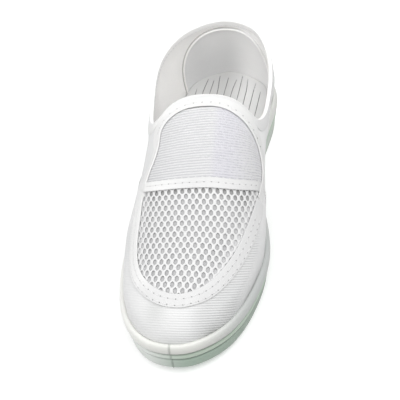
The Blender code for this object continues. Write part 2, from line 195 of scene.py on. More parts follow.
# Numbers of the places at the throat's corners and at the toe, and levels of the wall's top and the crest.
AROUND = len(PLACES)
OUTER_NOTCH = 5
TOE = 13
INNER_NOTCH = 21
SHOULDER = 1
CREST_LEVEL = 2

CREST = tuple(map(Crest._make, (
    (39.1, 3.2, 100.0), (49.2, 4.3, 92.0), (59.0, 4.3, 83.0), (68.4, 2.7, 74.5), (76.7, -0.5, 67.6),
    (83.1, -3.7, 62.5), (87.2, -6.4, 59.1), (89.5, -8.0, 57.0), (90.2, -8.6, 56.3),
)))

SIDE_VIEW = tuple(map(SideView._make, (
    (0.0, 1.6, 31.0), (9.0, 0.0, 30.8), (48.0, 0.0, 29.8), (84.0, 0.0, 28.2), (116.0, 3.2, 26.2),
    (146.0, 0.0, 24.6), (176.0, 0.0, 23.8), (198.0, 0.0, 24.0), (220.0, 1.0, 25.0), (242.0, 3.0, 26.9),
    (266.0, 6.2, 29.4),
)))

SOLE_WALL = tuple(map(WallStep._make, (
    (4.6, 0.0), (3.4, 0.02), (3.0, 0.06), (2.5, 0.2), (2.2, 0.33), (2.4, 0.37), (3.5, 0.395),
    (3.6, 0.415), (3.5, 0.435), (1.5, 0.46), (1.2, 0.49), (1.2, 0.56), (1.4, 0.595), (3.0, 0.62),
    (3.1, 0.64), (3.0, 0.66), (0.6, 0.69), (0.15, 0.73), (0.0, 0.79), (0.1, 0.87), (0.5, 0.94),
    (1.2, 0.98), (2.2, 1.0),
)))

OPENING = tuple(map(Edge._make, (
    (43.0, 3.2, 9.6), (43.8, 19.3, 9.4), (46.6, 33.2, 8.0), (52.6, 39.8, 6.0), (60.2, 39.2, 7.6),
    (68.0, 35.5, 8.6), (75.2, 30.7, 8.6), (81.6, 23.6, 8.3), (87.3, 13.0, 8.3), (90.3, 1.3, 8.2),
    (90.8, -9.6, 8.2), (89.1, -20.4, 8.0), (85.5, -29.6, 7.4), (80.5, -34.9, 7.0), (74.4, -36.7, 7.4),
    (67.7, -36.9, 7.6), (60.2, -36.2, 6.6), (51.9, -30.4, 6.6), (46.4, -29.1, 8.4), (43.3, -15.5, 9.4),
)))

CREASES = tuple(map(Crease._make, (
    (118.0, 8.5, 166.0, 8.5, 9.0, 0.7), (248.0, 5.0, 259.0, 2.5, 6.0, 0.9),
    (246.0, 15.0, 257.0, 13.0, 5.5, -0.7), (249.0, -22.0, 258.0, -20.0, 6.0, -0.35),
    (205.0, 40.0, 222.0, 34.0, 7.0, -0.5), (196.0, -42.0, 214.0, -40.0, 7.0, -0.5),
    (112.0, 38.0, 130.0, 39.0, 8.0, -0.5), (118.0, -38.0, 134.0, -39.0, 8.0, -0.5),
)))

# Patches of painted shade on the toe, beside the pale ridge in its middle.
SHADES = tuple(map(Shade._make, (
    (251.0, 14.0, 36.0, 7.0, 1.0), (249.0, -17.0, 90.0, 8.0, 0.65), (262.0, -3.0, 36.0, 14.0, 0.6),
)))

SPOTLIGHT = {"spot_size": math.radians(17.0), "spot_blend": 1.0, "shadow_soft_size": 0.08}
LAMPS = (
    Lamp("key", (-1.1, -0.5, 1.1), 11.0, {"size": 1.8}),
    Lamp("top", (0.7, -0.15, 1.4), 13.0, {"size": 1.4}),
    Lamp("fill", (0.05, -1.0, 1.1), 5.5, {"size": 1.0}),
    Lamp("heel", (0.1, -0.1, 0.6), 4.5, SPOTLIGHT, Light.SPOT, (-0.012, 0.1, 0.055)),
)


def hermite(start: Array, end: Array, start_slope: Array, end_slope: Array, t: Array) -> Array:
    """Points at share t of cubics with these ends and end slopes."""
    return (
        (2 * t**3 - 3 * t**2 + 1) * start
        + (t**3 - 2 * t**2 + t) * start_slope
        + (3 * t**2 - 2 * t**3) * end
        + (t**3 - t**2) * end_slope
    )


def unit(vectors: Array) -> Array:
    """The same directions with length one."""
    return vectors / np.linalg.norm(vectors, axis=-1, keepdims=True)


def eased(values: Array, low: float, high: float) -> Array:
    """Rises softly from 0 at low to 1 at high."""
    share = np.clip((np.asarray(values) - low) / (high - low), 0, 1)
    return share * share * (3 - 2 * share)


def spaced(first: float, last: float, step: float) -> Array:
    """Evenly spaced numbers from first to last, about a step apart."""
    return np.linspace(first, last, max(2, round(abs(last - first) / step) + 1))


def paired(place: Array, level: Array) -> List[Array]:
    """Places and levels as arrays of one shape."""
    return np.broadcast_arrays(np.asarray(place, float), np.asarray(level, float))


def distances(path: Array) -> Array:
    """How far along a path each of its points lies."""
    return np.concatenate(((0.0,), np.cumsum(np.linalg.norm(np.diff(path, axis=0), axis=1))))


def grid_normals(points: Array) -> Array:
    """Directions out of a grid of points, rows and columns of them, on its upper side."""
    normals = unit(np.cross(np.gradient(points, axis=1), np.gradient(points, axis=0)))
    return normals * np.sign(np.mean(normals @ UP))


class Curve:
    """A smooth curve through the rows of a table, read at row numbers that may be fractions."""

    def __init__(self, rows: Array, closed: bool = False) -> None:
        """Fits the curve.

        Args:
            rows: The table, a row for each whole row number.
            closed: Whether the last row leads back to the first.
        """
        self.rows = np.array(rows, float)
        self.closed = closed
        count = len(self.rows)
        matrix = 4 * np.eye(count) + np.eye(count, k=1) + np.eye(count, k=-1)
        right = 3 * (np.roll(self.rows, -1, axis=0) - np.roll(self.rows, 1, axis=0))
        if closed:
            matrix[0, -1] = matrix[-1, 0] = 1
        else:
            matrix[0, 0] = matrix[-1, -1] = 2
            right[[0, -1]] = 3 * (self.rows[[1, -1]] - self.rows[[0, -2]])
        self.slopes = np.linalg.solve(matrix, right)

    def at(self, row: Array) -> Array:
        """Rows of the table at these row numbers.

        Args:
            row: Row numbers, with fractions between two rows.

        Returns:
            A row for each of them.
        """
        count = len(self.rows)
        row = np.asarray(row, float)
        row = row % count if self.closed else np.clip(row, 0, count - 1)
        first = np.minimum(row.astype(int), count - 1 if self.closed else count - 2)
        second = (first + 1) % count
        share = (row - first)[..., None]
        return hermite(self.rows[first], self.rows[second], self.slopes[first], self.slopes[second], share)

    def outward(self, row: Array, step: float) -> Array:
        """Plan directions that point out of a closed outline."""
        run = self.at(row + step)[..., :2] - self.at(row - step)[..., :2]
        return unit(np.stack((-run[..., 1], run[..., 0]), axis=-1))


@dataclass
class Last:
    """The form of the shoe, the same surface that its solids have."""

    sole_length: float = 266.0
    ball_width: float = 93.4
    collar_height: float = 78.0
    instep_height: float = 87.0
    lip_width: float = 4.2
    lip_depth: float = 4.0
    wall: float = 1.8
    gap: float = 0.3
    roof_fullness: float = 1.3
    square_rows: float = 2.0
    probe: float = 0.02
    nudge: float = 1e-12
    extent_steps: int = 40

    def __post_init__(self) -> None:
        """Scales the tables and finds the middle of the sole."""
        length, width = self.sole_length / 100, self.ball_width / 100
        scale = (length, width, length, width, self.collar_height / 100, 1, 1)
        self.round = Curve(np.array(PLACES) * scale, closed=True)
        self.crest = Curve(np.array(CREST) * (length, width, self.instep_height / 100))
        self.opening = Curve(np.array(OPENING) * (length, width, 1), closed=True)
        outline = self.rim(np.arange(AROUND * self.extent_steps) / self.extent_steps)
        self.middle = (outline.min(axis=0) + outline.max(axis=0)) / 2

    def to_scene(self, points: Array) -> Array:
        """Scene positions in metres of points given as along, across and height."""
        along, across, height = np.moveaxis(np.asarray(points, float), -1, 0)
        return np.stack((across - self.middle[1], self.middle[0] - along, height), axis=-1) * MM

    def from_scene(self, points: Array) -> Array:
        """Along, across and height of scene positions."""
        x, y, z = np.moveaxis(np.asarray(points, float) / MM, -1, 0)
        return np.stack((self.middle[0] - y, x + self.middle[1], z), axis=-1)

    def rim(self, place: Array, inset: Number = 0.0) -> Array:
        """Plan points of the sole's outline, moved inwards by an inset."""
        inset = np.asarray(inset, float)[..., None]
        return self.round.at(place)[..., :2] - inset * self.round.outward(place, self.probe)

    def side_view(self, along: Array) -> Array:
        """Heights of tread and lip.

        Args:
            along: Distances along the sole.

        Returns:
            The heights, in two columns.
        """
        table = np.array(SIDE_VIEW)
        stations, heights = table[:, 0], table[:, 1:]
        index = np.arange(len(table))
        before, after = np.maximum(index - 1, 0), np.minimum(index + 1, len(table) - 1)
        slopes = (heights[after] - heights[before]) / (stations[after] - stations[before])[:, None]
        slopes[:, 0] *= heights[:, 0] > 0
        along = np.clip(along, stations[0], stations[-1])
        row = np.minimum(np.searchsorted(stations, along, side="right") - 1, len(table) - 2)
        run = (stations[row + 1] - stations[row])[..., None]
        share = (along - stations[row])[..., None] / run
        return hermite(heights[row], heights[row + 1], slopes[row] * run, slopes[row + 1] * run, share)

    def seat(self, along: Array) -> Array:
        """Height of the sole's seat, under the upper and the insole."""
        return self.side_view(along)[..., 1] - self.lip_depth - self.gap

    def crest_at(self, place: Array) -> Tuple[Array, Array]:
        """Finds the crest of the vamp.

        Args:
            place: Places beside the vamp.

        Returns:
            Crest points over them, and the crest's rise per millimetre.
        """
        row = np.where(place <= TOE, place, 2 * TOE - place) - OUTER_NOTCH
        row = np.clip(row, 0, len(CREST) - 1)
        ahead, behind = self.crest.at(row + self.probe), self.crest.at(row - self.probe)
        rise = (ahead[..., 2] - behind[..., 2]) / (ahead[..., 0] - behind[..., 0])
        return self.crest.at(row), rise

    def point(self, place: Array, level: Array) -> Array:
        """Points of the upper's outer face.

        Args:
            place: Places round the shoe.
            level: 0 at the sole, 1 at the collar or shoulder, 2 on the crest of the vamp.

        Returns:
            Along, across and height of each point.
        """
        place, level = paired(place, level)
        row = self.round.at(place)
        plan = self.rim(place, self.lip_width)
        zero = np.zeros_like(place)
        outward = np.concatenate((self.round.outward(place, self.probe), zero[..., None]), axis=-1)
        foot_height = self.side_view(plan[..., 0])[..., 1] - self.lip_depth
        foot = np.concatenate((plan, foot_height[..., None]), axis=-1)
        top = row[..., 2:5]
        flare, lean = np.radians(row[..., 5:6]), np.radians(row[..., 6:7])
        leave = UP * np.cos(flare) + outward * np.sin(flare)
        arrive = UP * np.cos(lean) - outward * np.sin(lean)
        height = np.linalg.norm(top - foot, axis=-1, keepdims=True)
        on_wall = np.clip(level, 0, SHOULDER)[..., None]
        wall = hermite(foot, top, leave * height, arrive * height, on_wall)
        crest, rise = self.crest_at(place)
        facing = np.minimum(place, 2 * TOE - place)
        off_throat = np.clip((facing - OUTER_NOTCH) / self.square_rows, 0, 1)
        flat = np.stack((off_throat, np.ones_like(place), zero), axis=-1)
        inward = unit((crest - top) * flat)
        inward = inward + UP * (rise * inward[..., 0])[..., None]
        span = np.linalg.norm(crest - top, axis=-1, keepdims=True)
        on_roof = np.clip(level - SHOULDER, 0, 1)[..., None]
        roof = hermite(top, crest, arrive * span, inward * span * self.roof_fullness, on_roof)
        return np.where((level <= SHOULDER)[..., None], wall, roof)

    def normal(self, place: Array, level: Array) -> Array:
        """Directions out of the upper's outer face.

        Args:
            place: Places round the shoe.
            level: Levels, as in point.

        Returns:
            A direction at each of them.
        """
        place, level = paired(place, level)
        over_vamp = ((place >= OUTER_NOTCH) & (place <= INNER_NOTCH)) | (level > SHOULDER)
        low = np.maximum(level - self.probe, 0)
        high = np.minimum(level + self.probe, np.where(over_vamp, CREST_LEVEL, SHOULDER))
        rise = self.point(place, high) - self.point(place, low)
        run = self.point(place + self.probe, level) - self.point(place - self.probe, level)
        crest_rise = self.crest_at(place)[1]
        on_crest = np.stack((-crest_rise, np.zeros_like(crest_rise), np.ones_like(crest_rise)), axis=-1)
        at_crest = (level > CREST_LEVEL - self.probe / 2)[..., None]
        return unit(np.where(at_crest, on_crest, np.cross(rise, run) + self.nudge * on_crest))

    def opening_edge(self, row: Array, out: Number = 0.0) -> Array:
        """Plan points of the opening's edge, moved outwards."""
        out = np.asarray(out, float)[..., None]
        return self.opening.at(row)[..., :2] + out * self.opening.outward(row, self.probe)


class Modeller:
    """Hand tools for meshes: primitives, edit-mode operators and applied modifiers."""

    @staticmethod
    def clear_selection() -> None:
        """Leaves edit mode and selects nothing."""
        if bpy.context.mode != "OBJECT":
            bpy.ops.object.mode_set(mode="OBJECT")
        bpy.ops.object.select_all(action="DESELECT")

    @classmethod
    def pick(cls, obj: Piece) -> None:
        """Makes one object the selected and active one.

        Args:
            obj: The object.
        """
        cls.clear_selection()
        obj.select_set(True)
        bpy.context.view_layer.objects.active = obj

    @classmethod
    @contextmanager
    def editing(cls, obj: Piece) -> Iterator[None]:
        """Edit mode on one object with all of its mesh selected.

        Args:
            obj: The object.

        Yields:
            Once, in edit mode.
        """
        cls.pick(obj)
        bpy.ops.object.mode_set(mode="EDIT")
        bpy.ops.mesh.select_all(action="SELECT")
        yield
        bpy.ops.object.mode_set(mode="OBJECT")

    @staticmethod
    def added(name: str) -> Piece:
        """Names the primitive that was just added.

        Args:
            name: Its name.

        Returns:
            The primitive.
        """
        obj = bpy.context.object
        obj.name = obj.data.name = name
        return obj

    @classmethod
    def grid(cls, name: str, points: Array) -> Piece:
        """A grid primitive with its vertices laid through points.

        Args:
            name: Its name.
            points: Scene points, rows and columns of them.

        Returns:
            The grid.
        """
        rows, columns = points.shape[:2]
        cls.clear_selection()
        bpy.ops.mesh.primitive_grid_add(x_subdivisions=columns - 1, y_subdivisions=rows - 1, size=1)
        obj = cls.added(name)
        obj.data.vertices.foreach_set("co", points.astype(np.float32).ravel())
        obj.data.update()
        return obj

    @classmethod
    def weld(cls, obj: Piece, distance: float = 1e-6, fill: bool = False) -> None:
        """Merges doubles, closes holes where asked and turns the faces outwards.

        Args:
            obj: The mesh object.
            distance: How close two vertices are to be one, in metres.
            fill: Whether open ends are closed with a face.
        """
        with cls.editing(obj):
            bpy.ops.mesh.remove_doubles(threshold=distance)
            if fill:
                bpy.ops.mesh.select_all(action="DESELECT")
                bpy.ops.mesh.select_mode(type="EDGE")
                bpy.ops.mesh.select_non_manifold(extend=False, use_multi_face=False, use_verts=False)
                bpy.ops.mesh.fill_holes(sides=0)
                bpy.ops.mesh.select_all(action="SELECT")
            bpy.ops.mesh.normals_make_consistent(inside=False)

    @classmethod
    def apply(cls, obj: Piece, kind: str, **settings: Any) -> None:
        """Adds a modifier and applies it.

        Args:
            obj: The object.
            kind: The modifier's type.
            **settings: Its own properties.
        """
        cls.pick(obj)
        step = obj.modifiers.new(kind.lower(), kind)
        for key, value in settings.items():
            setattr(step, key, value)
        bpy.ops.object.modifier_apply(modifier=step.name)

    @classmethod
    def join(cls, pieces: Sequence[Piece], name: Optional[str] = None) -> Piece:
        """Joins pieces into the first of them.

        Args:
            pieces: The pieces.
            name: A new name, or None to keep that of the first.

        Returns:
            The joined piece.
        """
        made = pieces[0]
        cls.pick(made)
        for piece in pieces[1:]:
            piece.select_set(True)
        bpy.ops.object.join()
        if name:
            made.name = made.data.name = name
        return made

    @classmethod
    def repeat(cls, model: Piece, shapes: Sequence[Array], name: str) -> Piece:
        """Copies a model to many places, each copy with its own mesh, and joins the copies.

        Args:
            model: The model, which is removed.
            shapes: Scene positions of the vertices, an array for each copy.
            name: The joined piece's name.

        Returns:
            The joined piece.
        """
        copies = []
        for points in shapes:
            copy = model.copy()
            copy.data = model.data.copy()
            copy.data.vertices.foreach_set("co", np.asarray(points, np.float32).ravel())
            copy.data.update()
            bpy.context.scene.collection.objects.link(copy)
            copies.append(copy)
        bpy.data.objects.remove(model)
        return cls.join(copies, name)

    @classmethod
    def roll(
        cls, last: Last, name: str, path: Array, normals: Array, width: float, height: float, points: int = 8
    ) -> Piece:
        """A flattened roll of cloth along a path on a surface.

        Args:
            last: The shoe's form.
            name: The roll's name.
            path: Points on the surface.
            normals: Directions out of it.
            width: Width of the roll over the surface.
            height: How far it stands out.
            points: Points round the roll.

        Returns:
            The roll.
        """
        side = np.cross(normals, unit(np.gradient(path, axis=0)))
        angles = np.linspace(0, 2 * math.pi, points + 1)
        ring = [path + side * width / 2 * math.cos(a) + normals * height * math.sin(a) for a in angles]
        made = cls.grid(name, last.to_scene(np.stack(ring, axis=1)))
        cls.weld(made, fill=True)
        return made

    @classmethod
    def face(cls, sheet: Piece, outwards: bool = False) -> None:
        """Turns an open sheet so that its faces point upwards.

        Args:
            sheet: The sheet.
            outwards: Whether the faces of its side walls point away from the middle instead.
        """
        turned = 0.0
        for face in sheet.data.polygons:
            turned += (face.normal.x * face.center.x if outwards else face.normal.z) * face.area
        if turned < 0:
            with cls.editing(sheet):
                bpy.ops.mesh.flip_normals()

    @classmethod
    def smooth(cls, obj: Piece, angle: float = 40.0) -> None:
        """Shades smooth, with edges sharper than an angle in degrees left sharp."""
        cls.pick(obj)
        bpy.ops.object.shade_smooth_by_angle(angle=math.radians(angle))

    @classmethod
    def thicken(cls, obj: Piece, thickness: float, offset: int = -1, **settings: Any) -> None:
        """Gives an open sheet its thickness in millimetres, inwards or outwards."""
        cls.apply(obj, "SOLIDIFY", thickness=thickness * MM, offset=offset, **settings)

    @classmethod
    def round_edges(cls, obj: Piece, width: float, angle: float) -> None:
        """Bevels edges sharper than an angle in degrees, with a width in millimetres."""
        limit = {"limit_method": "ANGLE", "angle_limit": math.radians(angle)}
        cls.apply(obj, "BEVEL", width=width * MM, segments=2, **limit)

    @classmethod
    def cut(cls, obj: Piece, cutter: Piece) -> None:
        """Cuts an object by another, which is then removed."""
        cls.apply(obj, "BOOLEAN", operation="DIFFERENCE", object=cutter)
        bpy.data.objects.remove(cutter)

    @staticmethod
    def slots(obj: Piece, *names: str) -> None:
        """Adds material slots, which the piece's finishes fill later."""
        for name in names:
            obj.data.materials.append(bpy.data.materials.new(name))

    @staticmethod
    def attribute(obj: Piece, name: str, values: Array) -> None:
        """Stores a number at each vertex."""
        made = obj.data.attributes.new(name, "FLOAT", "POINT")
        made.data.foreach_set("value", np.asarray(values, np.float32).ravel())

    @staticmethod
    def vertices(obj: Piece) -> Array:
        """Vertex positions of a mesh object.

        Args:
            obj: The object.

        Returns:
            A row for each vertex.
        """
        co = np.zeros(len(obj.data.vertices) * 3, np.float32)
        obj.data.vertices.foreach_get("co", co)
        return co.reshape(-1, 3).astype(float)


def dress(obj: Piece, materials: Sequence[Material], replaced: Optional[str] = None) -> None:
    """Finishes a piece: its materials, its body and the solid that it stands for.

    Args:
        obj: The piece.
        materials: Finishes, in the order of the piece's material slots.
        replaced: The solid that the piece stands for.
    """
    indices = [face.material_index for face in obj.data.polygons]
    obj.data.materials.clear()
    for material in materials:
        obj.data.materials.append(material)
    obj.data.polygons.foreach_set("material_index", indices)
    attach(obj, BODY)
    if replaced:
        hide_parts(replaced)
    LOG.info("%s: %d faces", obj.name, len(obj.data.polygons))


def operator(operation: str, reflected: bool = False) -> Callable[..., "Wire"]:
    """Makes a method of Wire that adds a Math node.

    Args:
        operation: The node's operation.
        reflected: Whether the wire is the second operand.

    Returns:
        The method.
    """

    def method(wire: "Wire", other: "Operand" = 0.0) -> "Wire":
        """Adds the node."""
        return wire.graph.maths(operation, *((other, wire) if reflected else (wire, other)))

    return method


class Wire:
    """An output of a shader graph that takes part in sums as a number does."""

    __add__, __radd__ = operator("ADD"), operator("ADD", True)
    __sub__, __rsub__ = operator("SUBTRACT"), operator("SUBTRACT", True)
    __mul__, __rmul__ = operator("MULTIPLY"), operator("MULTIPLY", True)
    __pow__, __abs__, sine = operator("POWER"), operator("ABSOLUTE"), operator("SINE")

    def __init__(self, graph: "Graph", socket: bpy.types.NodeSocket) -> None:
        """Wraps a socket of a graph."""
        self.graph = graph
        self.socket = socket

    def wave(self, length: float) -> "Wire":
        """A wave from -1 to 1 with half waves of a length."""
        return (self * (math.pi / length)).sine()

    def eased(self, low: float, high: float) -> "Wire":
        """Rises softly from 0 at low to 1 at high."""
        inputs = {"Value": self, "From Min": low, "From Max": high}
        return self.graph.node("ShaderNodeMapRange", {"interpolation_type": "SMOOTHSTEP"}, inputs)


Operand = Union[Wire, float]


class Graph:
    """The node graph of one finish, round its principled shader."""

    def __init__(self, name: str) -> None:
        """Starts a material.

        Args:
            name: Its name.
        """
        self.material = bpy.data.materials.new(name)
        self.material.use_nodes = True
        self.nodes = self.material.node_tree.nodes
        self.shader = self.nodes["Principled BSDF"]

    def node(
        self, kind: str, settings: Optional[Dict[str, Any]] = None, inputs: Optional[Dict[Any, Any]] = None,
        output: Union[int, str] = 0,
    ) -> Wire:
        """Adds a node.

        Args:
            kind: The node's type.
            settings: Its own properties, set first.
            inputs: Values or wires for its sockets, by name or number.
            output: The output to return, by name or number.

        Returns:
            The chosen output.
        """
        made = self.nodes.new(kind)
        for key, value in (settings or {}).items():
            setattr(made, key, value)
        for key, value in (inputs or {}).items():
            self.feed(made.inputs[key], value)
        return Wire(self, made.outputs[output])

    def feed(self, socket: bpy.types.NodeSocket, value: Any) -> None:
        """Links a wire to a socket, or sets the socket's value.

        Args:
            socket: The socket.
            value: A wire, or a value of the socket's own kind.
        """
        if isinstance(value, Wire):
            self.material.node_tree.links.new(value.socket, socket)
        elif socket.type == "RGBA":
            socket.default_value = (*value, 1.0)
        else:
            socket.default_value = value

    def maths(self, operation: str, first: Operand, second: Operand = 0.0) -> Wire:
        """A sum of one or two values."""
        return self.node("ShaderNodeMath", {"operation": operation}, {0: first, 1: second})

    def shade(self, **inputs: Any) -> Material:
        """Sets the shader's sockets.

        Args:
            **inputs: Values or wires, by name with underscores for spaces.

        Returns:
            The material.
        """
        for key, value in inputs.items():
            self.feed(self.shader.inputs[key.replace("_", " ")], value)
        return self.material

    def position(self) -> Wire:
        """Object coordinates in metres."""
        return self.node("ShaderNodeTexCoord", output="Object")

    def axes(self) -> Tuple[Wire, Wire, Wire]:
        """Object coordinates in millimetres.

        Returns:
            Across, along and up, as three values.
        """
        split = self.node("ShaderNodeSeparateXYZ", inputs={0: self.position()}).socket.node
        x, y, z = (Wire(self, output) * (1 / MM) for output in split.outputs)
        return x, y, z

    def noise(self, size: float, detail: float = 2.0) -> Wire:
        """Cloudy noise with spots of a size in millimetres, from 0 to 1."""
        inputs = {"Vector": self.position(), "Scale": 1 / (size * MM), "Detail": detail}
        return self.node("ShaderNodeTexNoise", inputs=inputs)

    def attribute(self, name: str) -> Wire:
        """A number stored on the mesh."""
        return self.node("ShaderNodeAttribute", {"attribute_name": name}, output="Fac")

    def mix(self, share: Operand, first: Any, second: Any) -> Wire:
        """A colour between two."""
        return self.node("ShaderNodeMix", {"data_type": "RGBA"}, {0: share, 6: first, 7: second}, output=2)

    def bump(self, height: Wire) -> Wire:
        """Normals of a relief, with its height in millimetres."""
        return self.node("ShaderNodeBump", inputs={"Height": height, "Distance": MM, "Strength": 1.0})


@dataclass(frozen=True)
class CoatedCloth:
    """White coated cloth: a fine grain, woven ribs that show through on the vamp, and painted shade."""

    name: str = "coated_cloth"
    colour: Colour = (0.76, 0.76, 0.76)
    shaded: Colour = (0.72, 0.725, 0.725)
    # Colours of painted shade: in the rib valleys, on the outer side of the heel and on the toe.
    valley_shade: Colour = (0.5, 0.5, 0.51)
    heel: Colour = (0.68, 0.695, 0.685)
    toe: Colour = (0.56, 0.57, 0.56)
    roughness: float = 0.42
    grain: float = 0.9
    grain_depth: float = 0.05
    cloud: float = 38.0
    cloudy: Span = (0.35, 0.7)
    rib_pitch: float = 2.1
    rib_depth: float = 0.3
    rib_fullness: float = 0.7
    valley_shade_share: float = 0.42
    heel_shade_x: Span = (22.0, 38.0)
    heel_shade_y: Span = (35.0, 60.0)
    toe_shade_x: Span = (14.0, 38.0)
    toe_shade_y: Span = (-120.0, -92.0)
    toe_shade_share: float = 0.6

    def material(self) -> Material:
        """Makes the finish.

        Returns:
            The material.
        """
        graph = Graph(self.name)
        x, y, z = graph.axes()
        shown = graph.attribute("rib")
        rib = abs((y + z).wave(self.rib_pitch)) ** self.rib_fullness
        grain = graph.noise(self.grain, 3.0)
        cloud = graph.noise(self.cloud, 1.0).eased(*self.cloudy)
        body = graph.mix(cloud, self.colour, self.shaded)
        # Painted shade on the outer side of the heel.
        body = graph.mix(x.eased(*self.heel_shade_x) * y.eased(*self.heel_shade_y), body, self.heel)
        # Painted shade on the toe: on its outer front, and in the patches of SHADES.
        body = graph.mix(self.toe_shade_share * x.eased(*self.toe_shade_x) * (1 - y.eased(*self.toe_shade_y)), body, self.toe)
        body = graph.mix(graph.attribute("shade"), body, self.toe)
        return graph.shade(
            # Painted shade in the valleys between the ribs.
            Base_Color=graph.mix((1 - rib) * shown * self.valley_shade_share, body, self.valley_shade),
            Roughness=self.roughness + 0.12 * grain + 0.1 * shown,
            Normal=graph.bump(rib * shown * self.rib_depth + grain * self.grain_depth),
            Coat_Weight=0.08,
            Coat_Roughness=0.35,
        )


@dataclass(frozen=True)
class Lining:
    """Warm pale grey cloth inside the shoe, with painted shade low down and painted light on its lit side."""

    name: str = "lining"
    colour: Colour = (0.95, 0.94, 0.92)
    worn: Colour = (0.91, 0.9, 0.885)
    # Painted shade low down, and painted light on the lit side.
    deep: Colour = (0.75, 0.74, 0.725)
    lit: Colour = (0.99, 0.985, 0.975)
    thread: float = 0.8
    depth: float = 0.1
    cloud: float = 22.0
    cloudy: Span = (0.3, 0.75)
    deep_shade_z: Span = (32.0, 72.0)
    lit_x: Span = (2.0, 26.0)

    def material(self) -> Material:
        """Makes the finish.

        Returns:
            The material.
        """
        graph = Graph(self.name)
        x, y, z = graph.axes()
        weave = (x + y).wave(self.thread) * (z - y).wave(self.thread)
        cloud = graph.noise(self.cloud).eased(*self.cloudy)
        # Painted shade low inside the shoe.
        plain = graph.mix(z.eased(*self.deep_shade_z), self.deep, graph.mix(cloud, self.colour, self.worn))
        return graph.shade(
            # Painted light on the lit side.
            Base_Color=graph.mix(x.eased(*self.lit_x), plain, self.lit),
            Roughness=0.82 + 0.1 * cloud,
            Normal=graph.bump(weave * self.depth),
            Sheen_Weight=0.15,
        )


@dataclass(frozen=True)
class RibbedGore:
    """Elastic cloth with ribs across, slightly lavender with painted shade and with broken ribs on the outer
    half.
    """

    name: str = "ribbed_gore"
    colour: Colour = (0.66, 0.66, 0.665)
    # The outer colour is a lavender tint darkened as painted shade; the valley colour is painted shade.
    outer: Colour = (0.61, 0.605, 0.64)
    valley_shade: Colour = (0.26, 0.26, 0.29)
    speckle: Colour = (0.61, 0.6, 0.65)
    half_x: Span = (8.5, 14.5)
    edge_x: Span = (20.0, 36.0)
    broken: float = 1.6
    breaks: Span = (0.4, 0.6)
    spot: float = 1.1
    spots: Span = (0.48, 0.66)
    thread: float = 0.62
    thread_depth: float = 0.03
    fluff: float = 0.7
    fluff_depth: float = 0.05

    def material(self) -> Material:
        """Makes the finish.

        Returns:
            The material.
        """
        graph = Graph(self.name)
        x, _, _ = graph.axes()
        half = x.eased(*self.half_x)
        broken = half * graph.noise(self.broken, 1.0).eased(*self.breaks)
        # Lavender tint with painted shade across the outer half, fading out at its far edge.
        plain = graph.mix(half * (1 - x.eased(*self.edge_x)), self.colour, self.outer)
        spots = graph.noise(self.spot).eased(*self.spots) * (0.15 + 0.45 * half)
        plain = graph.mix(spots, plain, self.speckle)
        # Painted shade in the valleys between the ribs, fainter where the ribs are broken.
        valley_shade = graph.attribute("valley_shade")
        weave = x.wave(self.thread) * self.thread_depth + graph.noise(self.fluff) * self.fluff_depth
        return graph.shade(
            Base_Color=graph.mix(valley_shade * (0.8 - 0.6 * broken), plain, self.valley_shade),
            Roughness=0.72 + 0.1 * valley_shade,
            Normal=graph.bump(weave),
            Sheen_Weight=0.2,
        )


@dataclass(frozen=True)
class OpenMesh:
    """White knitted thread of the mesh."""

    name: str = "open_mesh"
    colour: Colour = (0.73, 0.73, 0.73)
    shaded: Colour = (0.65, 0.65, 0.65)
    fibre: float = 0.5
    fibre_depth: float = 0.12
    fibres: Span = (0.45, 0.75)

    def material(self) -> Material:
        """Makes the finish.

        Returns:
            The material.
        """
        graph = Graph(self.name)
        fibre = graph.noise(self.fibre, 3.0)
        return graph.shade(
            Base_Color=graph.mix(fibre.eased(*self.fibres), self.colour, self.shaded),
            Roughness=0.6 + 0.15 * fibre,
            Normal=graph.bump(fibre * self.fibre_depth),
            Sheen_Weight=0.15,
        )


@dataclass(frozen=True)
class Backing:
    """Grey-white cloth that shows through the holes of the mesh, with painted light along its sides and
    painted shade at its rear.
    """

    name: str = "mesh_backing"
    colour: Colour = (0.49, 0.49, 0.495)
    shaded: Colour = (0.44, 0.44, 0.445)
    # Painted light along the sides and painted shade at the rear.
    border: Colour = (0.68, 0.68, 0.685)
    rear: Colour = (0.35, 0.35, 0.35)
    thread: float = 0.9
    depth: float = 0.1
    cloud: float = 6.0
    cloudy: Span = (0.35, 0.7)

    def material(self) -> Material:
        """Makes the finish.

        Returns:
            The material.
        """
        graph = Graph(self.name)
        x, y, _ = graph.axes()
        cloud = graph.noise(self.cloud).eased(*self.cloudy)
        # Painted shade at the rear, next to the seam's tape.
        plain = graph.mix(graph.attribute("rear"), graph.mix(cloud, self.colour, self.shaded), self.rear)
        return graph.shade(
            # Painted light along the sides, beside the bands.
            Base_Color=graph.mix(graph.attribute("border"), plain, self.border),
            Roughness=0.8 + 0.1 * cloud,
            Normal=graph.bump(x.wave(self.thread) * y.wave(self.thread) * self.depth),
        )


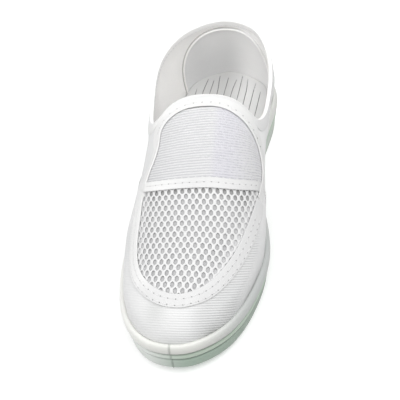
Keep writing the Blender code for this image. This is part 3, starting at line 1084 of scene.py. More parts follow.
@dataclass(frozen=True)
class Tape:
    """Smooth white tape of the bands and bindings, with a faint weave and painted light and shade."""

    name: str = "tape"
    colour: Colour = (0.79, 0.79, 0.785)
    # Painted shade on the outer side and at the front, and a painted highlight on the binding's fold.
    outer: Colour = (0.68, 0.68, 0.68)
    crown: Colour = (0.97, 0.965, 0.955)
    front: Colour = (0.67, 0.67, 0.67)
    outer_x: Span = (-30.0, 4.0)
    front_shade_y: Span = (-110.0, -96.0)
    thread: float = 0.7
    depth: float = 0.03
    cloud: float = 9.0
    cloudy: Span = (0.35, 0.7)
    swell: float = 2.5
    swell_depth: float = 0.08

    def material(self) -> Material:
        """Makes the finish.

        Returns:
            The material.
        """
        graph = Graph(self.name)
        x, y, z = graph.axes()
        weave = x.wave(self.thread) * (y + z).wave(self.thread)
        cloud = graph.noise(self.cloud).eased(*self.cloudy)
        # Painted shade on the outer side and at the front.
        plain = graph.mix(x.eased(*self.outer_x), self.colour, self.outer)
        plain = graph.mix(y.eased(*self.front_shade_y), self.front, plain)
        return graph.shade(
            # Painted highlight on the binding's fold and painted light on its inner leg.
            Base_Color=graph.mix(graph.attribute("crown"), plain, self.crown),
            Roughness=0.48 + 0.1 * cloud,
            Normal=graph.bump(weave * self.depth + graph.noise(self.swell) * self.swell_depth),
        )


@dataclass(frozen=True)
class Thread:
    """Sewing thread, or the shaded holes that its needle left, with painted light on the inner side."""

    name: str = "thread"
    colour: Colour = (0.82, 0.82, 0.82)
    shaded: Colour = (0.75, 0.75, 0.75)
    # Painted light on the inner side, where thread and needle holes take one grey.
    inner: Colour = (0.72, 0.72, 0.72)
    lit_inner_x: Span = (-34.0, -16.0)
    twist: float = 0.35
    depth: float = 0.05

    def material(self) -> Material:
        """Makes the finish.

        Returns:
            The material.
        """
        graph = Graph(self.name)
        x, y, z = graph.axes()
        twist = (x + y + z).wave(self.twist)
        plain = graph.mix(twist.eased(-1.0, 1.0), self.colour, self.shaded)
        return graph.shade(
            # Painted light on the inner side.
            Base_Color=graph.mix(x.eased(*self.lit_inner_x), self.inner, plain),
            Roughness=0.7 + 0.05 * twist,
            Normal=graph.bump(twist * self.depth),
        )


@dataclass(frozen=True)
class MouldedSole:
    """White moulding, warm at the lip and faintly green below, with a stippled lower band and painted light
    and shade.
    """

    name: str = "moulded_sole"
    lip: Colour = (0.72, 0.725, 0.69)
    # Painted light on the inner side and painted shade on the outer side, of lip and band.
    lit_inner_lip: Colour = (0.85, 0.85, 0.82)
    shaded_outer_lip: Colour = (0.51, 0.53, 0.52)
    # Rib and band: a faint green tint, darkened as painted shade of sides that face down.
    rib: Colour = (0.5, 0.595, 0.5)
    band: Colour = (0.4, 0.5, 0.42)
    lit_inner_band: Colour = (0.78, 0.81, 0.78)
    shaded_outer_band: Colour = (0.37, 0.44, 0.38)
    # Painted shade of the grooves and beside the mould line.
    groove: Colour = (0.13, 0.16, 0.14)
    lit_inner_x: Span = (-24.0, 5.0)
    lit_inner_lip_x: Span = (-45.0, -5.0)
    shaded_outer_lip_x: Span = (5.0, 42.0)
    shaded_outer_band_x: Span = (10.0, 40.0)
    rear_y: Span = (-10.0, 40.0)
    band_rise: Span = (0.4, 0.42)
    rib_rise: Span = (0.4, 0.44)
    lip_rise: Span = (0.6, 0.68)
    stipple: float = 0.7
    stipple_depth: float = 0.22
    cloud: float = 30.0
    swell: float = 3.0
    swell_depth: float = 0.05

    def material(self) -> Material:
        """Makes the finish.

        Returns:
            The material.
        """
        graph = Graph(self.name)
        x, y, _ = graph.axes()
        rise = graph.attribute("rise")
        below = 1 - rise.eased(*self.band_rise)
        # Painted light on the inner side, and partly at the back; painted shade on the outer side, on the lip
        # fading towards the back.
        inner, rear = x.eased(*self.lit_inner_x), y.eased(*self.rear_y)
        band = graph.mix(x.eased(*self.shaded_outer_band_x), self.band, self.shaded_outer_band)
        band = graph.mix(inner * (1 - 0.5 * rear), self.lit_inner_band, band)
        rib = graph.mix(inner, self.lit_inner_band, self.rib)
        lip = graph.mix(x.eased(*self.lit_inner_lip_x), self.lit_inner_lip, self.lip)
        lip = graph.mix(x.eased(*self.shaded_outer_lip_x) * (1 - 0.8 * rear), lip, self.shaded_outer_lip)
        body = graph.mix(rise.eased(*self.rib_rise), band, rib)
        body = graph.mix(rise.eased(*self.lip_rise), body, lip)
        stipple = graph.noise(self.stipple, 1.0) * below * self.stipple_depth
        return graph.shade(
            # Painted shade in the grooves and beside the mould line.
            Base_Color=graph.mix(graph.attribute("groove"), body, self.groove),
            Roughness=0.4 + 0.1 * graph.noise(self.cloud) + 0.15 * below,
            Normal=graph.bump(stipple + graph.noise(self.swell) * self.swell_depth),
            Subsurface_Weight=0.05,
            Subsurface_Radius=(0.003, 0.004, 0.003),
        )


@dataclass(frozen=True)
class InsoleCloth:
    """Grey-white insole with dark lengthwise grooves, painted shade on its inner side and painted light on
    its outer side.
    """

    name: str = "insole_cloth"
    # Painted shade towards the inner side, painted light towards the outer side.
    colour: Colour = (0.47, 0.47, 0.465)
    outer: Colour = (0.7, 0.7, 0.695)
    groove: Colour = (0.18, 0.18, 0.18)
    outer_x: Span = (0.0, 24.0)
    grooved: Span = (0.2, 0.8)
    cloud: float = 14.0
    cloudy: Span = (0.3, 0.7)
    fluff: float = 0.6
    fluff_depth: float = 0.12

    def material(self) -> Material:
        """Makes the finish.

        Returns:
            The material.
        """
        graph = Graph(self.name)
        x, _, _ = graph.axes()
        # Painted shade towards the inner side, painted light towards the outer side.
        plain = graph.mix(x.eased(*self.outer_x), self.colour, self.outer)
        return graph.shade(
            Base_Color=graph.mix(graph.attribute("groove").eased(*self.grooved), plain, self.groove),
            Roughness=0.8 + 0.1 * graph.noise(self.cloud).eased(*self.cloudy),
            Normal=graph.bump(graph.noise(self.fluff, 3.0) * self.fluff_depth),
        )


@dataclass(frozen=True)
class PaleFloor:
    """Plain white floor."""

    name: str = "pale_floor"
    colour: Colour = (0.92, 0.92, 0.92)
    glow: float = 0.2

    def material(self) -> Material:
        """Makes the finish."""
        glow = {"Emission_Color": self.colour, "Emission_Strength": self.glow}
        return Graph(self.name).shade(Base_Color=self.colour, Roughness=0.9, **glow)


@dataclass(frozen=True)
class Seam:
    """The seam between gore and mesh, furthest forward in its middle and falling back at both sides."""

    along: float = 169.0
    across: float = -3.0
    bow: float = 0.0008
    turn: float = 4.9e-6

    def fall(self, across: Array) -> Array:
        """How far the seam lies behind its middle at distances across."""
        away = (across - self.across) ** 2
        return self.bow * away + self.turn * away**2


@dataclass
class Skin:
    """The upper's outer face with its creases and the step where the vamp overlaps the quarters."""

    last: Last
    seam: Seam = Seam()
    vamp_place: float = 6.7
    throat_step: float = 0.07
    corner_step: float = 0.07
    throat_reach: float = 0.7
    step: float = 0.5
    column: float = 0.0625
    lowest: float = 0.25
    rows: int = 90
    ends: Span = (112.0, 252.0)
    section_half: float = 44.0
    section_step: float = 0.5
    reach: float = 62.0
    bulge_rise: Span = (SHOULDER, 1.2)
    bulge_fall: Span = (1.25, 1.75)
    ceiling: float = 200.0
    beside: float = 50.0
    edge_passes: int = 3
    edge_step: float = 0.02
    cell_end: float = 1.001

    def __post_init__(self) -> None:
        """Lays the guide that bands and panels are fitted to."""
        places = spaced(OUTER_NOTCH, INNER_NOTCH, self.column)
        levels = np.linspace(self.lowest, CREST_LEVEL, self.rows)
        points = self.lay(places[None, :], levels[:, None])
        count = len(places)
        corner = np.arange((self.rows - 1) * count).reshape(self.rows - 1, count)[:, :-1].ravel()
        faces = np.column_stack((corner, corner + count, corner + count + 1, corner + 1))
        self.tree = BVHTree.FromPolygons(points.reshape(-1, 3).tolist(), faces.tolist())
        self.sections()

    def relief(self, place: Array, points: Array) -> Array:
        """How far the face stands out from the last's own surface.

        Args:
            place: Places round the shoe.
            points: Points of the last's surface there.

        Returns:
            Distances in millimetres.
        """
        place = place % AROUND
        vamp = (place > self.vamp_place) & (place < AROUND - self.vamp_place)
        out = np.where(vamp, self.step, 0.0)
        for crease in CREASES:
            start = np.array((crease.along, crease.across))
            run = np.array((crease.end_along, crease.end_across)) - start
            offset = points[..., :2] - start
            share = np.clip(offset @ run / (run @ run), 0, 1)
            away = np.linalg.norm(offset - share[..., None] * run, axis=-1)
            out = out + crease.rise * np.exp(-((away / crease.width) ** 2))
        return out

    def lay(self, place: Array, level: Array, out: Number = 0.0) -> Array:
        """Points of the face, moved outwards along its normal.

        Args:
            place: Places round the shoe.
            level: Levels from the sole up, as the last has them.
            out: Distances outwards in millimetres.

        Returns:
            The points.
        """
        place, level = paired(place, level)
        points = self.last.point(place, level)
        out = np.asarray(out) + self.relief(place, points)
        return points + out[..., None] * self.last.normal(place, level)

    def throat_shift(self, level: Array) -> Array:
        """How many places further forward than the solid's the throat's edge lies, at levels."""
        bulge = eased(level, *self.bulge_rise) * (1 - eased(level, *self.bulge_fall))
        return self.throat_step * eased(level, 0.0, SHOULDER) + self.corner_step * bulge

    def columns(self, place: Array, level: Array) -> Array:
        """Places of a sheet's columns, moved forward near the throat's edge.

        Args:
            place: Places round the shoe, a row.
            level: Levels, a column.

        Returns:
            A place for each point of the sheet.
        """
        notches = (OUTER_NOTCH, INNER_NOTCH)
        outer, inner = (1 - eased(np.abs(place - notch), 0.0, self.throat_reach) for notch in notches)
        return place + self.throat_shift(level) * (outer - inner)

    def drop(self, plan: Array) -> Array:
        """Drops plan points on the face.

        Args:
            plan: The points, along and across.

        Returns:
            Points of the face under them.
        """
        down = Vector((0.0, 0.0, -1.0))
        made = []
        for along, across in plan.reshape(-1, 2):
            hit = self.tree.ray_cast(Vector((along, across, self.ceiling)), down)[0]
            if hit is None:
                hit = self.tree.find_nearest(Vector((along, across, self.beside)))[0]
            made.append(hit)
        return np.array(made).reshape(*plan.shape[:-1], 3)

    def nearest(self, points: Array) -> Tuple[Array, Array]:
        """Finds the nearest points of the face.

        Args:
            points: Points near it.

        Returns:
            The points found, and the directions out of the face there.
        """
        found = [self.tree.find_nearest(Vector(point)) for point in points]
        normals = np.array([hit[1] for hit in found])
        return np.array([hit[0] for hit in found]), normals * np.sign(normals[:, 2:] + TINY)

    def edge(self, rows: Array) -> Array:
        """Follows the opening's edge on the face.

        Args:
            rows: Rows of its table.

        Returns:
            Points of the face, evened out.
        """
        points = self.drop(self.last.opening_edge(rows))
        for _ in range(self.edge_passes):
            points[1:-1] = (points[:-2] + 2 * points[1:-1] + points[2:]) / 4
        return self.nearest(points)[0]

    def strip(self, edge: Array, widths: Array, columns: int) -> Array:
        """A strip of the face that starts at an edge and runs sideways over it.

        Args:
            edge: Points along the edge, on the face.
            widths: Width of the strip at each point, to the left of the way the edge runs.
            columns: Points across the strip.

        Returns:
            Points of the strip, a row for each point of the edge.
        """
        points, normals = self.nearest(edge)
        made = [points]
        for _ in range(columns - 1):
            along = unit(np.gradient(points, axis=0))
            sideways = unit(np.cross(normals, along))
            points, normals = self.nearest(points + sideways * (widths / (columns - 1))[:, None])
            made.append(points)
        return np.stack(made, axis=1)

    def sections(self) -> None:
        """Cuts the vamp across every millimetre, and measures each section from the crest."""
        self.stations = spaced(*self.ends, 1.0)
        self.girths = spaced(-self.reach, self.reach, 1.0)
        crest = self.last.crest.rows
        middles = np.interp(self.stations, crest[:, 0], crest[:, 1])
        table = []
        self.plan_girths = []
        for along, middle in zip(self.stations, middles):
            across = spaced(middle - self.section_half, middle + self.section_half, self.section_step)
            points = self.drop(np.column_stack((np.full_like(across, along), across)))
            girth = distances(points)
            girth = girth - np.interp(middle, across, girth)
            table.append(np.column_stack([np.interp(self.girths, girth, points[:, i]) for i in range(3)]))
            self.plan_girths.append((across, girth))
        self.table = np.array(table)

    def girth_of(self, along: Array, across: Array) -> Array:
        """Distance round the vamp from its crest to plan points."""
        index = np.clip(np.rint(along - self.stations[0]).astype(int), 0, len(self.stations) - 1)
        return np.array([np.interp(v, *self.plan_girths[i]) for i, v in zip(index, across)])

    def fabric(self, along: Array, girth: Array) -> Array:
        """Points of the face at distances along the shoe and round the vamp from its crest.

        Args:
            along: Distances from the back of the heel.
            girth: Distances round the vamp, positive on the outer side.

        Returns:
            The points.
        """
        row = np.clip(along - self.stations[0], 0, len(self.stations) - self.cell_end)
        column = np.clip(girth - self.girths[0], 0, len(self.girths) - self.cell_end)
        i, j = row.astype(int), column.astype(int)
        s, t = (row - i)[..., None], (column - j)[..., None]
        low = self.table[i, j] * (1 - t) + self.table[i, j + 1] * t
        high = self.table[i + 1, j] * (1 - t) + self.table[i + 1, j + 1] * t
        return low * (1 - s) + high * s

    def woven(self, row: Array, girth: Array) -> Array:
        """Points of the face on rows of cloth, which fall back at the sides as the seam does."""
        across = self.fabric(row, girth)[..., 1]
        return self.fabric(row - self.seam.fall(across), girth)

    def sides(self, along: Array, out: float) -> Tuple[Array, Array]:
        """Where sections meet the inner and the outer edge of the opening.

        Args:
            along: Distances of the sections from the back of the heel, in one row.
            out: How far outside the edge to measure.

        Returns:
            Distances from the crest on the inner and on the outer side.
        """
        found = []
        for start in (len(OPENING), 0):
            edge = self.last.opening_edge(spaced(start, len(OPENING) // 2, self.edge_step), out)
            order = np.argsort(edge[:, 0])
            across = np.interp(along, edge[order, 0], edge[order, 1])
            found.append(self.girth_of(along, across))
        return found[0], found[1]


@dataclass
class Sole:
    """The moulded unit sole."""

    last: Last
    columns_per_place: int = 10
    floor_steps: int = 12
    lip_inner_share: float = 0.98
    lip_bite: float = 0.2
    groove_shares: Tuple[float, float] = (0.415, 0.642)
    groove_spread: float = 0.038
    flash_place: float = 13.07
    flash_width: float = 0.5
    flash_rise: float = 0.4
    flash_shade: float = 0.3
    tread_zones: Tuple[Tuple[float, float], ...] = ((16.0, 76.0), (154.0, 234.0))
    tread_pitch: float = 10.0
    tread_groove: float = 3.0
    tread_depth: float = 2.2
    tread_margin: float = 13.0
    edge_step: float = 0.1
    flash_bite: float = 0.05
    flash_reach: float = 5.0

    def ring(self, place: Array, inset: Number, share: float) -> Array:
        """A row of points round the sole's side.

        Args:
            place: Places round the shoe.
            inset: Distance inside the rim.
            share: Share of the wall's height.

        Returns:
            The points.
        """
        plan = self.last.rim(place, inset)
        tread, lip = np.moveaxis(self.last.side_view(plan[..., 0]), -1, 0)
        return np.column_stack((plan, tread + share * (lip - tread)))

    def floor(self, name: str, row: Array) -> Piece:
        """A sheet that closes a ring of points, with strips from side to side.

        Args:
            name: The sheet's name.
            row: The ring, from the heel round the outer side.

        Returns:
            The sheet.
        """
        count = len(row)
        half = np.arange(count // 2 + 1)
        share = np.linspace(0, 1, self.floor_steps + 1)[None, :, None]
        outer, inner = row[half][:, None, :], row[-half % count][:, None, :]
        return Modeller.grid(name, self.last.to_scene(outer + (inner - outer) * share))

    def grooves(self) -> Piece:
        """Bars that cut the tread.

        Returns:
            The bars, as one piece.
        """
        place = spaced(0, AROUND, self.edge_step)
        edge = self.last.rim(place, self.tread_margin)
        outer, inner = edge[place <= TOE], edge[place >= TOE][::-1]
        bars = []
        for first, last in self.tread_zones:
            for along in spaced(first, last, self.tread_pitch):
                sides = [np.interp(along, side[:, 0], side[:, 1]) for side in (outer, inner)]
                top = self.last.side_view(np.array(along))[0] + self.tread_depth
                middle = self.last.to_scene(np.array((along, sum(sides) / 2, 0.0)))
                size = np.array((abs(sides[0] - sides[1]), self.tread_groove, 2 * top)) * MM
                Modeller.clear_selection()
                bpy.ops.mesh.primitive_cube_add(size=1, location=middle)
                bpy.ops.transform.resize(value=size)
                bpy.ops.object.transform_apply()
                bars.append(Modeller.added("tread_groove"))
        return Modeller.join(bars)

    def flash(self) -> Piece:
        """The thin mould line down the toe.

        Returns:
            The line.
        """
        place = np.array((self.flash_place,))
        path = np.vstack([self.ring(place, step.inset - self.flash_bite, step.share) for step in SOLE_WALL])
        side = self.last.rim(self.flash_place + self.last.probe * np.array((-1, 1)))
        across = unit(np.append(side[1] - side[0], 0.0)) * self.flash_width / 2
        outward = np.append(self.last.round.outward(place, self.last.probe)[0], 0.0)
        root = path - outward * self.flash_width
        columns = [root - across, path + outward * self.flash_rise, root + across]
        made = Modeller.grid("mould_line", self.last.to_scene(np.stack(columns + columns[:1], axis=1)))
        Modeller.weld(made, fill=True)
        return made

    def build(self) -> Piece:
        """Models the sole.

        Returns:
            The sole.
        """
        place = spaced(0, AROUND, 1 / self.columns_per_place)[:-1]
        rows = [self.ring(place, step.inset, step.share) for step in SOLE_WALL]
        flare = np.radians(self.last.round.at(place)[:, 5])
        lip_inset = self.last.lip_width + self.lip_bite - self.last.lip_depth * np.tan(flare)
        rows.append(self.ring(place, lip_inset, self.lip_inner_share))
        seat = self.last.rim(place, self.last.lip_width + self.lip_bite)
        rows.append(np.column_stack((seat, self.last.seat(seat[:, 0]))))
        rings = np.array([np.vstack((row, row[:1])) for row in rows])
        wall = Modeller.grid("sole_looks", self.last.to_scene(rings))
        sole = Modeller.join([wall, self.floor("tread", rows[0]), self.floor("seat", rows[-1])])
        Modeller.weld(sole)
        Modeller.apply(sole, "SUBSURF", levels=1, render_levels=1)
        Modeller.cut(sole, self.grooves())
        Modeller.join([sole, self.flash()])
        Modeller.smooth(sole)
        return sole

    def finish(self, sole: Piece) -> None:
        """Marks heights, and the painted shade of grooves and mould line, for the finish, and dresses the
        sole.

        Args:
            sole: The sole.
        """
        points = self.last.from_scene(Modeller.vertices(sole))
        tread, lip = self.last.side_view(points[:, 0]).T
        rise = (points[:, 2] - tread) / (lip - tread)
        Modeller.attribute(sole, "rise", rise)
        # Painted shade in the grooves and beside the mould line.
        grooves = [np.exp(-(((rise - share) / self.groove_spread) ** 2)) for share in self.groove_shares]
        seam = self.last.rim(np.array((self.flash_place,)))[0]
        beside = np.abs(points[:, 1] - seam[1]) < self.flash_width
        shade = self.flash_shade * (beside & (points[:, 0] > seam[0] - self.flash_reach))
        Modeller.attribute(sole, "groove", np.maximum(np.maximum(*grooves), shade))
        dress(sole, [MouldedSole().material()], "sole")


@dataclass
class Insole:
    """The insole with its lengthwise grooves."""

    last: Last
    edge_gap: float = 0.6
    thickness: float = 3.0
    sheet: float = 2.1
    columns: int = 190
    place_step: float = 0.08
    groove_pitch: float = 5.3
    groove_width: float = 0.55
    groove_depth: float = 0.5
    groove_lean: float = 5.0
    groove_shift: float = 3.0
    groove_wander: float = 1.3
    groove_margin: float = 6.0
    heel_margin: float = 6.0
    heel_scatter: float = 3.0
    wander_rate: float = 1.7
    wander_fade: Span = (5.0, 24.0)
    scatter_rate: float = 2.3
    groove_floor: float = 1.4
    groove_fade: float = 1.5
    edge_drop: float = 0.8
    edge_round: float = 1.5
    smooth_angle: float = 50.0

    def groove(self, plan: Array, inside: Array, heel: float) -> Array:
        """Depth of the grooves, from 0 to 1.

        Args:
            plan: Plan points of the insole.
            inside: Distance of each point from the edge.
            heel: Distance of the insole's own heel from the back of the shoe.

        Returns:
            A share for each point.
        """
        leaning = math.tan(math.radians(self.groove_lean)) * plan[..., 0] - self.groove_shift
        lane = (plan[..., 1] + leaning) / self.groove_pitch
        number = np.rint(lane)
        bend = np.sin(self.wander_rate * number) * (1 - eased(plan[..., 0] - heel, *self.wander_fade))
        away = np.abs((lane - number) * self.groove_pitch - self.groove_wander * bend)
        start = heel + self.heel_margin + self.heel_scatter * np.sin(self.scatter_rate * number)
        share = np.clip(self.groove_floor - away / (self.groove_width / 2), 0, 1)
        share = share * np.clip((plan[..., 0] - start) / self.groove_fade, 0, 1)
        return share * eased(inside, self.groove_margin - self.groove_fade, self.groove_margin)

    def build(self) -> Piece:
        """Models the insole as strips from side to side, thickened downwards.

        Returns:
            The insole.
        """
        inset = self.last.lip_width + self.last.wall + self.edge_gap
        half = spaced(0, TOE, self.place_step)
        outer, inner = self.last.rim(half, inset), self.last.rim(AROUND - half, inset)
        share = np.linspace(0, 1, self.columns)[None, :, None]
        plan = outer[:, None, :] + (inner - outer)[:, None, :] * share
        inside = np.minimum(share, 1 - share)[..., 0] * np.linalg.norm(inner - outer, axis=1)[:, None]
        groove = self.groove(plan, inside, inset)
        top = self.last.seat(plan[..., 0]) + self.last.gap + self.thickness
        rounded = self.edge_drop * (1 - eased(inside, 0.0, self.edge_round))
        points = np.dstack((plan, top - self.groove_depth * groove - rounded))
        insole = Modeller.grid("insole_looks", self.last.to_scene(points))
        Modeller.attribute(insole, "groove", groove)
        Modeller.weld(insole)
        Modeller.face(insole)
        Modeller.thicken(insole, self.sheet)
        Modeller.smooth(insole, self.smooth_angle)
        return insole

    def finish(self, insole: Piece) -> None:
        """Dresses the insole."""
        dress(insole, [InsoleCloth().material()], "insole")


@dataclass
class Upper:
    """The hollow wall of vamp and quarters, its lining and the counter lining at the heel."""

    skin: Skin
    columns_per_place: int = 8
    wall_rows: int = 30
    roof_rows: int = 34
    seam_step: float = 0.012
    doubles: float = 2e-5
    bevel: Span = (0.5, 60.0)
    opening_margin: float = 1.2
    opening_step: float = 0.1
    cut_depth: float = 6.0
    cut_heights: Span = (38.0, 130.0)
    counter_reach: float = 2.4
    counter_step: float = 0.06
    counter_foot: float = 0.02
    counter_top: float = 0.86
    counter_square: int = 3
    counter_fullness: float = 0.75
    counter_gap: float = 0.25
    counter_thickness: float = 0.9
    counter_bevel: Span = (0.35, 60.0)
    counter_rows: int = 26
    counter_cut: Cut = Cut(0.134, 0.043, 0.0029)
    # The seam line is dark for its seam and for the painted shadow beside the border.
    edgings: Tuple[Tuple[str, float, float], ...] = (("border", -0.014, 1.5), ("seam_shadow_line", 0.012, 0.6))
    edging_gap: float = 0.3
    edging_height: float = 0.5
    edging_angle: float = 70.0
    rib_along: Span = (170.0, 200.0)
    rib_across: Span = (-16.0, 20.0)
    rib_sideways: Span = (0.8, 0.98)
    rib_least: float = 0.3
    shade_fade: float = 10.0

    def places(self) -> Array:
        """Places for the columns of the wall, doubled at the seams of the vamp.

        Returns:
            The places, in order.
        """
        seam = self.skin.vamp_place
        doubled = (seam - self.seam_step, seam + self.seam_step)
        mirrored = tuple(AROUND - place for place in doubled)
        return np.unique(np.concatenate((spaced(0, AROUND, 1 / self.columns_per_place), doubled, mirrored)))

    def cutter(self) -> Piece:
        """A plug through the opening, whose sides cross the wall square to it.

        Returns:
            The plug.
        """
        last = self.skin.last
        rows = spaced(-1, len(OPENING) + 1, self.opening_step)
        edge, normals = self.skin.nearest(self.skin.edge(rows))
        outward = unit(np.cross(normals, unit(np.gradient(edge, axis=0))))
        edge, normals = self.skin.nearest(edge + outward * self.opening_margin)
        once = (rows > -TINY) & (rows < len(OPENING) - TINY)
        edge, normals = edge[once], normals[once]
        inner, outer = edge - normals * self.cut_depth, edge + normals * self.cut_depth
        low, high = inner.copy(), outer.copy()
        low[:, 2], high[:, 2] = self.cut_heights
        rings = np.stack([np.vstack((ring, ring[:1])) for ring in (low, inner, edge, outer, high)])
        plug = Modeller.grid("opening_cutter", last.to_scene(rings))
        Modeller.weld(plug, fill=True)
        return plug

    def build(self) -> Piece:
        """Models the wall: round the whole shoe, and over the vamp in front of the throat.

        Returns:
            The wall.
        """
        last = self.skin.last
        places = self.places()
        vamp = places[(places >= OUTER_NOTCH) & (places <= INNER_NOTCH)]
        sheets = []
        for name, row, levels in (
            ("upper_looks", places, np.linspace(0, SHOULDER, self.wall_rows)),
            ("vamp", vamp, np.linspace(SHOULDER, CREST_LEVEL, self.roof_rows)),
        ):
            levels = levels[:, None]
            points = self.skin.lay(self.skin.columns(row[None, :], levels), levels)
            sheets.append(Modeller.grid(name, last.to_scene(points)))
        upper = Modeller.join(sheets)
        Modeller.weld(upper, self.doubles)
        Modeller.face(upper, outwards=True)
        Modeller.slots(upper, "outer", "inner")
        Modeller.thicken(upper, last.wall, material_offset=1)
        Modeller.round_edges(upper, *self.bevel)
        Modeller.cut(upper, self.cutter())
        Modeller.smooth(upper)
        return upper

    def counter_edge(self) -> Tuple[Array, Array]:
        """The counter lining's top edge.

        Returns:
            Its places and levels.
        """
        around = spaced(-self.counter_reach, self.counter_reach, self.counter_step)
        level = 1 - np.abs(around / self.counter_reach) ** self.counter_square
        level = self.counter_top * level**self.counter_fullness
        return around % AROUND, np.maximum(level, self.counter_foot)

    def counter(self) -> Piece:
        """The counter lining inside the heel, with its rounded top edge.

        Returns:
            The lining.
        """
        last = self.skin.last
        around, edge = self.counter_edge()
        share = np.linspace(0, 1, self.counter_rows)[:, None]
        level = self.counter_foot + share * (edge - self.counter_foot)[None, :]
        points = self.skin.lay(around[None, :], level, -last.wall - self.counter_gap)
        sheet = Modeller.grid("counter_lining", last.to_scene(points))
        Modeller.weld(sheet)
        Modeller.face(sheet, outwards=True)
        Modeller.thicken(sheet, self.counter_thickness)
        Modeller.round_edges(sheet, *self.counter_bevel)
        Modeller.smooth(sheet)
        return sheet

    def edging(self) -> Piece:
        """The rolled border of the counter lining, and above it the dark line of its seam, which also paints
        the shadow beside the border.

        Returns:
            Both, as one piece.
        """
        last = self.skin.last
        around, edge = self.counter_edge()
        rolls = []
        for name, shift, width in self.edgings:
            level = np.clip(edge + shift, self.counter_foot, SHOULDER)
            out = -last.wall - self.edging_gap - (shift < 0) * self.counter_thickness
            path, normals = self.skin.lay(around, level, out), -last.normal(around, level)
            rolls.append(Modeller.roll(last, name, path, normals, width, self.edging_height))
            Modeller.slots(rolls[-1], name)
        made = Modeller.join(rolls, "counter_edging")
        Modeller.smooth(made, self.edging_angle)
        return made

    def finish(self, upper: Piece, counter: Piece, edging: Piece) -> None:
        """Marks where the vamp's ribs show and where shade is painted on the toe, and dresses wall, counter
        lining and edging.

        Args:
            upper: The wall.
            counter: The counter lining.
            edging: Its border, and its seam with the painted shadow beside the border.
        """
        points = self.skin.last.from_scene(Modeller.vertices(upper))
        normals = np.zeros(len(points) * 3, np.float32)
        upper.data.vertex_normals.foreach_get("vector", normals)
        sideways = np.abs(normals.reshape(-1, 3)[:, 0])
        outer = self.rib_least + (1 - self.rib_least) * eased(points[:, 1], *self.rib_across)
        rib = eased(points[:, 0], *self.rib_along) * (1 - eased(sideways, *self.rib_sideways)) * outer
        Modeller.attribute(upper, "rib", rib)
        # Painted shade on the toe, from the patches of SHADES.
        shade = np.zeros(len(points))
        for patch in SHADES:
            away = np.linalg.norm(points[:, :2] - (patch.along, patch.across), axis=1)
            below = 1 - eased(points[:, 2], patch.top - self.shade_fade, patch.top)
            shade += patch.depth * np.exp(-((away / patch.width) ** 2)) * below
        Modeller.attribute(upper, "shade", np.minimum(shade, 1.0))
        dress(upper, [CoatedCloth().material(), Lining().material()], "upper")
        # Counter lining: painted shade low down and painted light on its lit side.
        grey, pale = (0.58, 0.58, 0.58), (0.86, 0.855, 0.85)
        cloth = Lining("counter_cloth", (0.78, 0.775, 0.77), (0.74, 0.74, 0.735), grey, pale)
        dress(counter, [cloth.material()])
        # The seam line's colour: dark for the seam and the painted shadow beside the border, with painted
        # light on its lit side.
        dark, pale = (0.47, 0.46, 0.45), (0.85, 0.845, 0.835)
        seam = Lining("counter_seam_shadow", dark, dark, dark, pale)
        dress(edging, [Lining("counter_border").material(), seam.material()])


@dataclass
class Gore:
    """The ribbed elastic panel over the instep."""

    skin: Skin
    rear: float = 114.2
    overlap: float = 1.0
    pitch: float = 1.87
    rib_height: float = 0.45
    rib_fullness: float = 0.6
    samples: int = 8
    columns: int = 72
    valley_fullness: float = 1.3
    margin: float = 0.5
    drop: float = 0.25
    thickness: float = 1.0
    passes: int = 3
    smooth_angle: float = 60.0
    cut: Cut = Cut(0.082, 0.06, 0.00424)

    def build(self) -> Piece:
        """Models the panel with a ridge for each rib, in rows that run as the front seam does.

        Returns:
            The panel.
        """
        seam = self.skin.seam
        row = spaced(self.rear, seam.along + self.overlap, self.pitch / self.samples)
        share = np.linspace(0, 1, self.columns)[None, :]
        along = np.broadcast_to(row[:, None], (len(row), self.columns))
        for _ in range(self.passes):
            inner, outer = (side.reshape(along.shape) for side in self.skin.sides(along.ravel(), self.margin))
            points = self.skin.fabric(along, inner + (outer - inner) * share)
            along = row[:, None] - seam.fall(points[..., 1])
        wave = np.abs(np.sin(math.pi * row / self.pitch))[:, None] ** self.rib_fullness
        out = self.rib_height * (wave - 1) - self.drop
        points = points + out[..., None] * grid_normals(points)
        gore = Modeller.grid("gore_looks", self.skin.last.to_scene(points))
        # How deep each valley lies, for the painted shade in the valleys.
        Modeller.attribute(gore, "valley_shade", np.broadcast_to((1 - wave) ** self.valley_fullness, along.shape))
        Modeller.face(gore)
        Modeller.thicken(gore, self.thickness)
        Modeller.smooth(gore, self.smooth_angle)
        return gore

    def finish(self, gore: Piece) -> None:
        """Dresses the panel."""
        dress(gore, [RibbedGore().material()], "instep_gore")


